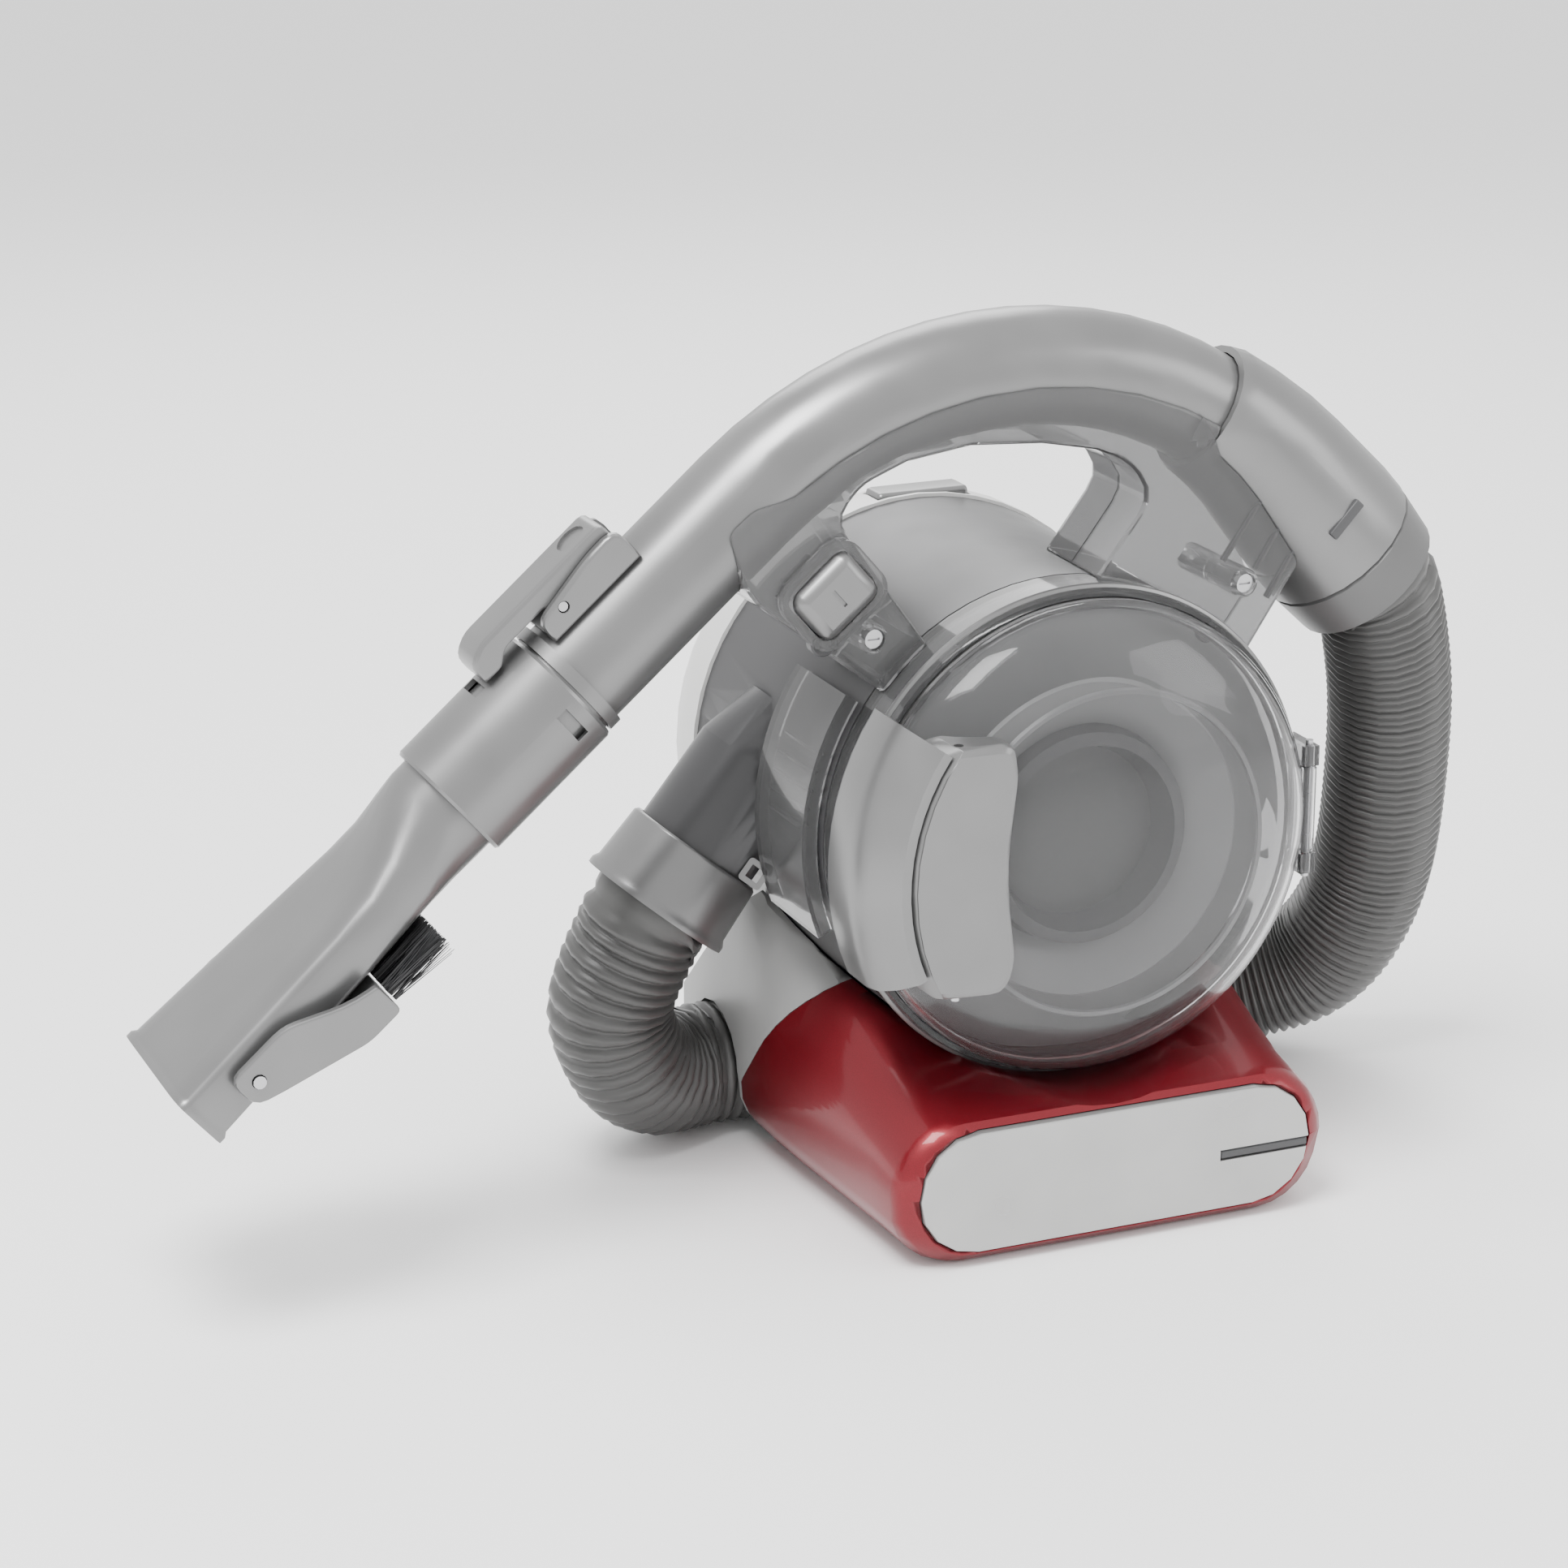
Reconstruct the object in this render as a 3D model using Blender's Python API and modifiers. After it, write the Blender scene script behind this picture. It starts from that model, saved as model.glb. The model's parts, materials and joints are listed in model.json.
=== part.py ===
"""Handheld vacuum with a round dust drum, a carrying arch, a clip-on wand and a stretch hose.

Frame: metres, +Z up, +X right, -Y towards the drum's clear door.
Origin: centre of the base's flat bottom face.
"""

import math

import bmesh
import bpy
from mathutils import Matrix, Vector

# ---------------------------------------------------------------- driving dimensions
MM = 0.001
GAP = 0.4 * MM                      # running gap between neighbouring pieces
WALL = 2.2 * MM                     # moulded wall thickness

DRUM_Z = 124 * MM                   # height of the drum's axis, which runs along Y
DRUM_R = 78 * MM                    # outer radius at the bowl's rim
DRUM_REAR_R = 79.5 * MM             # outer radius at the rear joint
RIM_Y = -45 * MM                    # front rim of the dust bowl
SEAM_Y = -25 * MM                   # bowl to drum joint
DRUM_REAR_Y = 76 * MM               # drum to rear cover joint
COVER_REAR_Y = 112 * MM             # back of the rear cover
COVER_R = 80.6 * MM                 # the rear cover's largest radius
DOOR_R = 75.4 * MM
DOME_DEPTH = 30 * MM
HINGE = Vector((77.6 * MM, -49.5 * MM, DRUM_Z))       # door hinge, axis along Z
PADDLE_AXIS = Vector((-55 * MM, -72 * MM, DRUM_Z))    # door latch, axis along Z

BASE_HALF_W = 74.5 * MM
BASE_FRONT_Y = -76 * MM
BASE_REAR_Y = 94 * MM
BASE_FLARE = 4.5 * MM               # how much wider the base is towards the back
BASE_H = 47.5 * MM                  # height of the base's front lip
BASE_CORNER = 22 * MM               # rounding of the base's section
PANEL_HALF_W = 67.5 * MM
PANEL_LOW, PANEL_TOP = 4.6 * MM, 44.2 * MM

WAND_Y = -12 * MM                   # plane of the wand and of the handle
WAND_R = 18.2 * MM
APEX = Vector((-10 * MM, WAND_Y, 265.6 * MM))
FRONT_BEND, FRONT_ANGLE = 135 * MM, math.radians(41)
REAR_BEND, REAR_ANGLE = 126 * MM, math.radians(48)
FRONT_STRAIGHT = 78 * MM            # from the front bend to the tool's collar
REAR_STRAIGHT = 34 * MM             # from the rear bend to the hose cuff
CUFF_R, CUFF_LEN = 26.6 * MM, 16 * MM
SLEEVE_START = math.radians(31)     # where the sleeve starts on the rear bend

HANDLE_HALF = 19.8 * MM             # half of the handle's width across Y

HOSE_R = 20.6 * MM
TUNNEL_Y, TUNNEL_Z, TUNNEL_R = 63 * MM, 21.2 * MM, 21.2 * MM
SPIGOT_ANGLE = math.radians(51)
SPIGOT_FOOT = Vector((-77 * MM, 37 * MM, 129 * MM))
SPIGOT_R, SPIGOT_LEN = 20.6 * MM, 29 * MM
INLET_CUFF_R, INLET_CUFF_LEN = 23.4 * MM, 23 * MM

COLLAR_R, COLLAR_LEN = 20.4 * MM, 48.3 * MM
BRUSH_PIVOT = (144 * MM, -3 * MM)   # along the tool and square to it
PADDLE_PIVOT = (-15.8 * MM, 22.5 * MM)

BUTTON_AT = Vector((-78.4 * MM, -32 * MM, 206 * MM))
BUTTON_SIZE = (23 * MM, 18.8 * MM, 12 * MM)             # along the wand, square to it, deep
HEAD_FACE = 18.6 * MM               # screw heads, from the handle's middle plane
WAND_REACH = 30 * MM                # how far the wand goes into the tool's collar

CELL_R, CELL_LEN = 9.2 * MM, 65 * MM

COLOURS = {
    "red": ((0.42, 0.006, 0.018, 1), 0.32, 0.35),
    "light_grey": ((0.62, 0.62, 0.61, 1), 0.45, 0.0),
    "white": ((0.86, 0.86, 0.85, 1), 0.4, 0.0),
    "silver": ((0.62, 0.62, 0.62, 1), 0.34, 0.6),
    "panel_silver": ((0.8, 0.8, 0.79, 1), 0.28, 0.7),
    "mid_grey": ((0.3, 0.3, 0.3, 1), 0.45, 0.0),
    "smoke": ((0.16, 0.16, 0.17, 0.6), 0.12, 0.0),
    "clear": ((0.55, 0.55, 0.56, 0.4), 0.08, 0.0),
    "black": ((0.02, 0.02, 0.02, 1), 0.6, 0.0),
    "dark": ((0.08, 0.08, 0.085, 1), 0.5, 0.0),
    "rubber": ((0.05, 0.05, 0.05, 1), 0.8, 0.0),
    "steel": ((0.55, 0.55, 0.56, 1), 0.3, 1.0),
    "cell": ((0.05, 0.16, 0.4, 1), 0.5, 0.0),
    "board": ((0.02, 0.22, 0.08, 1), 0.5, 0.0),
    "filter": ((0.82, 0.8, 0.74, 1), 0.9, 0.0),
}

# ---------------------------------------------------------------- scene and helpers
for old in list(bpy.data.objects):
    bpy.data.objects.remove(old)

PARTS = bpy.data.collections.new("handheld_vacuum")
CUTTERS = bpy.data.collections.new("cutters")
for collection in (PARTS, CUTTERS):
    bpy.context.scene.collection.children.link(collection)


def material(kind):
    found = bpy.data.materials.get(kind)
    if found:
        return found
    colour, rough, metal = COLOURS[kind]
    made = bpy.data.materials.new(kind)
    made.use_nodes = True
    shader = made.node_tree.nodes["Principled BSDF"]
    shader.inputs["Base Color"].default_value = colour
    shader.inputs["Alpha"].default_value = colour[3]
    shader.inputs["Roughness"].default_value = rough
    shader.inputs["Metallic"].default_value = metal
    return made


def add(name, mesh, kind=None, place=Matrix()):
    """A new object in the parts collection or, with no material kind, a cutter."""
    obj = bpy.data.objects.new(name, mesh)
    obj.matrix_world = place
    if kind:
        mesh.materials.append(material(kind))
        PARTS.objects.link(obj)
    else:
        obj.hide_render = True
        obj.display_type = "WIRE"
        CUTTERS.objects.link(obj)
    return obj


def finish(bm, name):
    """Turns a bmesh into a mesh with its faces pointing out."""
    bmesh.ops.remove_doubles(bm, verts=bm.verts, dist=1e-6)
    bmesh.ops.recalc_face_normals(bm, faces=bm.faces)
    mesh = bpy.data.meshes.new(name)
    bm.to_mesh(mesh)
    bm.free()
    return mesh


def box(name, low, high, kind=None, place=Matrix(), bevel=0.0, segments=2):
    """A block between two corners, with its edges rounded."""
    bm = bmesh.new()
    bmesh.ops.create_cube(bm, size=1)
    size = [b - a for a, b in zip(low, high)]
    middle = [(a + b) / 2 for a, b in zip(low, high)]
    bmesh.ops.scale(bm, vec=size, verts=bm.verts)
    bmesh.ops.translate(bm, vec=middle, verts=bm.verts)
    if bevel:
        bmesh.ops.bevel(bm, geom=bm.edges[:], offset=bevel, segments=segments, profile=0.5,
                        affect="EDGES")
    return add(name, finish(bm, name), kind, place)


def turned(name, profile, kind=None, place=Matrix(), steps=48):
    """A turned shape: (radius, height) points around local Z, outer side top to bottom."""
    mesh = bpy.data.meshes.new(name)
    loop = profile[0][0] > 1e-9 or profile[-1][0] > 1e-9
    count = len(profile)
    edges = [(i, i + 1) for i in range(count - 1)] + ([(count - 1, 0)] if loop else [])
    mesh.from_pydata([(r, 0, z) for r, z in profile], edges, [])
    obj = add(name, mesh, kind, place)
    screw = obj.modifiers.new("turn", "SCREW")
    screw.steps = screw.render_steps = steps
    screw.use_merge_vertices = True
    screw.merge_threshold = 0.00001
    return obj


def ring_profile(outer, inner, top, bottom):
    return [(outer, top), (outer, bottom), (inner, bottom), (inner, top)]


def rod_profile(radius, top, bottom):
    return [(0, top), (radius, top), (radius, bottom), (0, bottom)]


def as_mesh(obj):
    """Replaces an object with the mesh it evaluates to, its caps welded."""
    bpy.context.view_layer.update()
    graph = bpy.context.evaluated_depsgraph_get()
    mesh = bpy.data.meshes.new_from_object(obj.evaluated_get(graph))
    bm = bmesh.new()
    bm.from_mesh(mesh)
    bmesh.ops.remove_doubles(bm, verts=bm.verts, dist=1e-6)
    bmesh.ops.recalc_face_normals(bm, faces=bm.faces)
    bm.to_mesh(mesh)
    bm.free()
    name, place, hidden = obj.name, obj.matrix_world.copy(), obj.hide_render
    home = CUTTERS if hidden else PARTS
    bpy.data.objects.remove(obj)
    made = bpy.data.objects.new(name, mesh)
    made.matrix_world = place
    made.hide_render = hidden
    made.display_type = "WIRE" if hidden else "TEXTURED"
    home.objects.link(made)
    return made


def outline(name, loops, half, kind=None, place=Matrix(), bevel=0.0):
    """A flat outline, with holes, extruded by half its thickness each way and made a mesh."""
    curve = bpy.data.curves.new(name, "CURVE")
    curve.dimensions = "2D"
    curve.fill_mode = "BOTH"
    curve.extrude = half - bevel
    curve.bevel_depth = bevel
    curve.bevel_resolution = 1
    curve.offset = -bevel
    for points in loops:
        area = sum(a[0] * b[1] - b[0] * a[1] for a, b in zip(points, points[1:] + points[:1]))
        points = points if area > 0 else points[::-1]
        spline = curve.splines.new("POLY")
        spline.points.add(len(points) - 1)
        for point, (x, y) in zip(spline.points, points):
            point.co = (x, y, 0, 1)
        spline.use_cyclic_u = True
    if kind:
        curve.materials.append(material(kind))
    obj = bpy.data.objects.new(name, curve)
    obj.matrix_world = place
    (PARTS if kind else CUTTERS).objects.link(obj)
    obj.hide_render = not kind
    return as_mesh(obj)


def tube(name, points, radius, kind=None, resolution=4, place=Matrix()):
    """A round bar along a line of points, with filled ends."""
    curve = bpy.data.curves.new(name, "CURVE")
    curve.dimensions = "3D"
    curve.bevel_depth = radius
    curve.bevel_resolution = resolution
    curve.use_fill_caps = True
    spline = curve.splines.new("POLY")
    spline.points.add(len(points) - 1)
    for point, co in zip(spline.points, points):
        point.co = (*co, 1)
    if kind:
        curve.materials.append(material(kind))
    obj = bpy.data.objects.new(name, curve)
    obj.matrix_world = place
    (PARTS if kind else CUTTERS).objects.link(obj)
    obj.hide_render = not kind
    return obj


def combine(obj, operation, *others, solver="MANIFOLD"):
    for other in others:
        step = obj.modifiers.new(operation.lower(), "BOOLEAN")
        step.operation = operation
        step.solver = solver
        step.object = other
    return obj


def cut(obj, *others, solver="MANIFOLD"):
    return combine(obj, "DIFFERENCE", *others, solver=solver)


def join(obj, *others):
    """Joins shapes that overlap into one body; the joined shapes become helpers."""
    for other in others:
        other.hide_render = True
        other.display_type = "WIRE"
        for home in list(other.users_collection):
            home.objects.unlink(other)
        CUTTERS.objects.link(other)
    return combine(obj, "UNION", *others)


def loft(name, sections, kind=None, place=Matrix()):
    """Skins closed sections that have equal point counts, and closes both ends."""
    bm = bmesh.new()
    rings = [[bm.verts.new(co) for co in section] for section in sections]
    for first, second in zip(rings, rings[1:]):
        for i in range(len(first)):
            j = (i + 1) % len(first)
            bm.faces.new((first[i], first[j], second[j], second[i]))
    bm.faces.new(rings[0][::-1])
    bm.faces.new(rings[-1])
    return add(name, finish(bm, name), kind, place)


def move(x=0.0, y=0.0, z=0.0):
    return Matrix.Translation((x, y, z))


def turn(angle, axis):
    return Matrix.Rotation(angle, 4, axis)


def arc(centre, radius, start, end, count):
    """Points on a circle, angles in degrees."""
    turns = [math.radians(start + (end - start) * i / (count - 1)) for i in range(count)]
    return [(centre[0] + radius * math.cos(t), centre[1] + radius * math.sin(t)) for t in turns]


def rounded(corners, count=3):
    """An outline from corners given in mm as (x, y, reach), each rounded over its reach."""
    points = []
    for before, here, after in zip(corners[-1:] + corners[:-1], corners, corners[1:] + corners[:1]):
        spot, reach = Vector(here[:2]) * MM, here[2] * MM
        if not reach:
            points.append(tuple(spot))
            continue
        start = spot + (Vector(before[:2]) * MM - spot).normalized() * reach
        end = spot + (Vector(after[:2]) * MM - spot).normalized() * reach
        for i in range(count + 1):
            t = i / count
            points.append(tuple(start.lerp(spot, t).lerp(spot.lerp(end, t), t)))
    return points


def inset(points, distance):
    """Moves every side of a closed outline inwards."""
    ahead, behind = points[1:] + points[:1], points[-1:] + points[:-1]
    area = sum(a[0] * b[1] - b[0] * a[1] for a, b in zip(points, ahead))
    side = math.copysign(distance, area)
    moved = []
    for before, here, after in zip(behind, points, ahead):
        first = (Vector(here) - Vector(before)).normalized()
        second = (Vector(after) - Vector(here)).normalized()
        normal = Vector((-first.y - second.y, first.x + second.x))
        moved.append(tuple(Vector(here) + normal * side * 2 / max(normal.length_squared, 1.6)))
    return moved


DRUM_FRAME = move(0, 0, DRUM_Z) @ turn(math.pi / 2, "X")      # local Z runs along -Y
UPRIGHT = turn(math.pi / 2, "X")                              # local XY is world XZ


def at_y(y):
    return move(0, y, 0) @ UPRIGHT


# ---------------------------------------------------------------- the wand's line
def wand_point(angle):
    """Centre line of the wand: negative angles on the front bend, positive on the rear."""
    radius = FRONT_BEND if angle < 0 else REAR_BEND
    return APEX + Vector((radius * math.sin(angle), 0, -radius * (1 - math.cos(angle))))


FRONT_DIR = Vector((-math.cos(FRONT_ANGLE), 0, -math.sin(FRONT_ANGLE)))
REAR_DIR = Vector((math.cos(REAR_ANGLE), 0, -math.sin(REAR_ANGLE)))
FRONT_BEND_END = wand_point(-FRONT_ANGLE)
REAR_BEND_END = wand_point(REAR_ANGLE)
TOOL_AT = FRONT_BEND_END + FRONT_DIR * FRONT_STRAIGHT
CUFF_AT = REAR_BEND_END + REAR_DIR * REAR_STRAIGHT
HOSE_TOP = CUFF_AT + REAR_DIR * CUFF_LEN

TOOL_FRAME = Matrix.Translation(TOOL_AT) @ turn(-(math.pi / 2 + FRONT_ANGLE), "Y")
CUFF_FRAME = Matrix.Translation(CUFF_AT) @ turn(math.pi / 2 + REAR_ANGLE, "Y")
BUTTON_FRAME = Matrix.Translation(BUTTON_AT) @ UPRIGHT @ turn(FRONT_ANGLE, "Z")
SCREW_FRAMES = [move(63 * MM, WAND_Y, 194 * MM) @ UPRIGHT, move(-64 * MM, WAND_Y, 190 * MM) @ UPRIGHT]
SPIGOT_FRAME = Matrix.Translation(SPIGOT_FOOT) @ turn(-(math.pi / 2 + SPIGOT_ANGLE), "Y")


def wand_line(start, end, count):
    return [wand_point(start + (end - start) * i / (count - 1)) for i in range(count)]


# ---------------------------------------------------------------- base
def eased(y, start, end):
    t = min(max((y - start) / (end - start), 0), 1)
    return t * t * (3 - 2 * t)


def base_section(y, inset=0.0):
    """Outline of the base across X and Z: its shoulders rise and square up towards the back."""
    half_w = BASE_HALF_W + BASE_FLARE * eased(y, BASE_FRONT_Y, 30 * MM) - inset
    top = BASE_H + 22 * MM * eased(y, -72 * MM, 0) + 22 * MM * eased(y, 0, 42 * MM) - inset
    power = 1 - 0.5 * eased(y, 0, 40 * MM)
    core, low = half_w - BASE_CORNER, BASE_CORNER
    right = [(core + x, z) for x, z in arc((0, low), BASE_CORNER - inset, -90, -15, 6)]
    for i in range(8):
        t = math.pi / 2 * i / 7
        right.append((core + (half_w - core) * math.cos(t) ** power,
                      low + 3 * MM + (top - low - 3 * MM) * math.sin(t) ** power))
    right += [(core * f, top) for f in (0.7, 0.4, 0.15)]
    left = [(-x, z) for x, z in reversed(right)]
    return [(x, y, z) for x, z in right + left]


def base_body(name, kind):
    front = [(0, 6.5), (1.2, 3.4), (3.6, 1.1), (7.5, 0)]
    middle = [-54, -38, -24, -10, 4, 14, 24, 34, 44, 66]
    sections = [base_section(BASE_FRONT_Y + d * MM, inset * MM) for d, inset in front]
    sections += [base_section(y * MM) for y in middle]
    sections += [base_section(BASE_REAR_Y - d * MM, inset * MM) for d, inset in ((4, 0), (1.2, 1.2), (0, 4))]
    return loft(name, sections, kind)


def side_prism(name, points):
    """An outline in the YZ plane, made a block right across the base."""
    return outline(name, [points], 100 * MM, place=turn(math.pi / 2, "Z") @ UPRIGHT)


def drum_cutter(name, radius, front, rear):
    rear_radius = radius + DRUM_REAR_R - DRUM_R
    profile = [(0, -front), (radius, -front), (radius, -SEAM_Y), (rear_radius, -rear), (0, -rear)]
    return turned(name, profile, place=DRUM_FRAME, steps=64)


def make_base():
    """Red cover in front, grey saddle behind it with the hose tunnel, and the plate under both."""
    trough = drum_cutter("cut_trough", DRUM_R + 2 * GAP, -100 * MM, 120 * MM)
    split_y, split_z, peak_y, peak_z = 40 * MM, 22.4 * MM, 0, 68 * MM
    far, under, over = 100 * MM, -5 * MM, 110 * MM
    keep_front = side_prism("keep_front", [
        (-far, under), (split_y - GAP, under), (split_y - GAP, split_z), (peak_y - GAP, peak_z),
        (peak_y - GAP, over), (-far, over)])
    keep_rear = side_prism("keep_rear", [
        (split_y, under), (far, under), (far, 30 * MM), (40 * MM, 88 * MM),
        (peak_y, peak_z), (split_y, split_z)])

    panel_seat = outline("cut_panel", [stadium(PANEL_HALF_W + GAP, PANEL_LOW - GAP, PANEL_TOP + GAP)],
                         4 * MM, place=at_y(BASE_FRONT_Y))
    inside = box("cut_inside", (-67 * MM, -69 * MM, 8 * MM), (67 * MM, 17 * MM, 36 * MM), bevel=4 * MM)
    floor = box("cut_floor", (-57 * MM, -63 * MM, -5 * MM), (57 * MM, 16.5 * MM, 20 * MM))
    cover = combine(base_body("base_cover", "red"), "INTERSECT", keep_front)
    cut(cover, trough, panel_seat, inside, floor)

    tunnel = as_mesh(tube("cut_tunnel", [(-far * 1.2, TUNNEL_Y, TUNNEL_Z), (far * 1.2, TUNNEL_Y, TUNNEL_Z)],
                          TUNNEL_R, resolution=6))
    low_slot = box("cut_slot", (-far * 1.2, TUNNEL_Y - TUNNEL_R, -10 * MM),
                   (far * 1.2, TUNNEL_Y + TUNNEL_R, TUNNEL_Z))
    housing = combine(base_body("base_housing", "light_grey"), "INTERSECT", keep_rear)
    cover_room = turned("cut_cover_room", rod_profile(COVER_R + 2 * GAP, -DRUM_REAR_Y + 2 * GAP, -130 * MM),
                        place=DRUM_FRAME, steps=64)
    cut(housing, trough, cover_room, tunnel, low_slot)

    plate = box("base_plate", (-56.6 * MM, -62.6 * MM, 0), (56.6 * MM, 16 * MM, 2.4 * MM), "dark",
                bevel=0.6 * MM, segments=1)
    feet = [(x, y) for x in (-46 * MM, 46 * MM) for y in (-52 * MM, 6 * MM)]
    pockets = [turned(f"cut_foot_{i}", rod_profile(7 * MM, 1.6 * MM, -2 * MM), place=move(x, y, 0),
                      steps=24) for i, (x, y) in enumerate(feet, 1)]
    cut(plate, *pockets)
    for i, (x, y) in enumerate(feet, 1):
        turned(f"foot_pad_{i}", rod_profile(6.6 * MM, 1.3 * MM, 0), "rubber", move(x, y, 0), 24)

    panel = outline("end_panel", [stadium(PANEL_HALF_W, PANEL_LOW, PANEL_TOP)], 1.8 * MM,
                    "panel_silver", at_y(BASE_FRONT_Y + 1.2 * MM), bevel=0.9 * MM)
    slot = box("cut_window", (35.6 * MM, -90 * MM, 21 * MM), (70 * MM, -60 * MM, 24.6 * MM))
    cut(panel, slot)
    box("charge_window", (36 * MM, BASE_FRONT_Y - 0.3 * MM, 21.4 * MM),
        (66.8 * MM, BASE_FRONT_Y + 2.6 * MM, 24.2 * MM), "dark", bevel=0.4 * MM, segments=1)


def stadium(half_w, low, high, count=9):
    r = (high - low) / 2
    return arc((half_w - r, low + r), r, -90, 90, count) + arc((r - half_w, low + r), r, 90, 270, count)


def make_battery():
    """Five cells in a tray with the charging board beside them."""
    rows = [-56 * MM, -36 * MM, -16 * MM]
    spots = [(x, y) for y in rows for x in (-33 * MM, 33 * MM)][:5]
    lying = turn(math.pi / 2, "Y")
    for i, (x, y) in enumerate(spots, 1):
        place = move(x - CELL_LEN / 2, y, 19.2 * MM) @ lying
        turned(f"battery_cell_{i}", rod_profile(CELL_R, CELL_LEN, 0), "cell", place, 20)
    tray = box("battery_tray", (-56 * MM, -62 * MM, 2.8 * MM), (56 * MM, -4 * MM, 19 * MM), "dark")
    beds = [box(f"cut_bed_{i}", (-68 * MM, y - CELL_R - GAP, 9.6 * MM),
                (68 * MM, y + CELL_R + GAP, 30 * MM)) for i, y in enumerate(rows, 1)]
    cut(tray, *beds)
    box("charge_board", (4 * MM, -24 * MM, 10 * MM), (55 * MM, -8 * MM, 11.6 * MM), "board")


# ---------------------------------------------------------------- drum
def make_drum():
    front, rear = -SEAM_Y - GAP, -DRUM_REAR_Y + GAP
    shell = turned("drum_shell", [(DRUM_R, front), (DRUM_REAR_R, rear), (DRUM_REAR_R - WALL, rear),
                                  (DRUM_R - WALL, front)], "smoke", DRUM_FRAME, 64)
    length = SPIGOT_LEN + 6 * MM
    pipe = turned("inlet_pipe", [(0, length), (SPIGOT_R, length), (SPIGOT_R, -4 * MM), (15.2 * MM, -24 * MM),
                                 (0, -24 * MM)], place=SPIGOT_FRAME, steps=32)
    bore = turned("cut_inlet", [(0, 80 * MM), (SPIGOT_R - WALL, 80 * MM), (SPIGOT_R - WALL, -3 * MM),
                                (12 * MM, -24 * MM), (0, -24 * MM)], place=SPIGOT_FRAME, steps=32)
    inner = drum_cutter("cut_drum_inside", DRUM_R - WALL, -100 * MM, 120 * MM)
    join(shell, cut(as_mesh(pipe), inner))
    cut(shell, bore)

    # motor group, from the fan at the front to the motor at the back
    turned("fan_inlet_plate", ring_profile(DRUM_R - WALL - GAP, 16 * MM, 6 * MM, 2 * MM), "dark",
           DRUM_FRAME, 48)
    turned("fan_housing", [(48 * MM, 1 * MM), (48 * MM, -18 * MM), (24 * MM, -18 * MM),
                           (24 * MM, -15.5 * MM), (45.5 * MM, -15.5 * MM), (45.5 * MM, 1 * MM)],
           "dark", DRUM_FRAME, 40)
    make_fan()
    turned("motor_can", rod_profile(22 * MM, -18.8 * MM, -64 * MM), "steel", DRUM_FRAME, 32)
    cut(bpy.data.objects["motor_can"],
        turned("cut_shaft", rod_profile(2.2 * MM, 0, -80 * MM), place=DRUM_FRAME, steps=16))
    turned("motor_mount", ring_profile(30 * MM, 22.4 * MM, -58 * MM, -72 * MM), "rubber",
           DRUM_FRAME, 32)
    make_rear_cover()


def make_rear_cover():
    """A shallow bowl with exhaust slots in its back."""
    start, deep, round_r = -DRUM_REAR_Y, COVER_REAR_Y - DRUM_REAR_Y, 26 * MM
    corner = arc((COVER_R - round_r, start - deep + round_r), round_r, 0, -90, 7)
    inner = arc((COVER_R - round_r, start - deep + round_r), round_r - WALL, -90, 0, 7)
    profile = [(COVER_R, start)] + corner + [(0, start - deep), (0, start - deep + WALL)]
    profile += inner + [(COVER_R - WALL, start)]
    cover = turned("rear_cover", profile, "white", DRUM_FRAME, 48)
    vents = []
    for i in range(-3, 4):
        height, half = DRUM_Z + i * 9 * MM, 30 * MM - abs(i) * 4 * MM
        vents.append(box(f"cut_vent_{i + 4}", (-half, 95 * MM, height - 1.6 * MM),
                         (half, 125 * MM, height + 1.6 * MM)))
    cut(cover, *vents)


def make_fan():
    """An impeller: a hub on the motor's shaft, a back plate and curved blades."""
    fan = turned("fan", [(0, -1 * MM), (9 * MM, -2 * MM), (11 * MM, -11 * MM), (43 * MM, -12.4 * MM),
                         (43 * MM, -14.2 * MM), (1.9 * MM, -14.2 * MM), (1.9 * MM, -40 * MM),
                         (0, -40 * MM)], "mid_grey", DRUM_FRAME, 32)
    blades = []
    for i in range(9):
        angle = i * math.tau / 9
        place = DRUM_FRAME @ turn(angle, "Z")
        blades.append(box(f"blade_{i + 1}", (9 * MM, -0.7 * MM, -13.6 * MM), (42 * MM, 0.7 * MM, -2.5 * MM),
                          place=place @ turn(math.radians(18), "Z")))
    join(fan, *blades)


def make_bowl():
    """The front of the drum: it lifts off forwards with its filter and its door."""
    rim, seam = -RIM_Y, -SEAM_Y + GAP
    turned("dust_bowl", [(DRUM_R - 0.6 * MM, rim), (DRUM_R, rim - 2 * MM), (DRUM_R, seam),
                         (22 * MM, seam), (22 * MM, seam + WALL), (DRUM_R - WALL, seam + WALL),
                         (DRUM_R - WALL, rim)], "smoke", DRUM_FRAME, 64)
    turned("filter_cup", [(38 * MM, seam + WALL + GAP), (25 * MM, seam + WALL + GAP),
                          (25 * MM, seam + 3 * WALL), (30 * MM, rim + 5 * MM), (31 * MM, rim + 5 * MM),
                          (34 * MM, rim + 4 * MM)], "dark", DRUM_FRAME, 40)
    make_filter(seam + WALL)


def make_filter(start):
    """A pleated cone inside the cup."""
    folds, top, bottom = 24, start + 9 * MM, start + 4.6 * MM
    sections = []
    for z, grow in ((bottom, 0), (top, 3 * MM)):
        ring = []
        for i in range(folds * 2):
            radius = (22 * MM if i % 2 else 18 * MM) + grow
            angle = math.pi * i / folds
            ring.append((radius * math.cos(angle), radius * math.sin(angle), z))
        sections.append(ring)
    loft("pleated_filter", sections, "filter", DRUM_FRAME)


def dome(radius, start, depth, count=7):
    """Half of a flattened dome, from the rim to the axis, as (radius, height) points."""
    return [(radius * math.cos(t), start + depth * math.sin(t))
            for t in [math.pi / 2 * i / (count - 1) for i in range(count)]]


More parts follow.
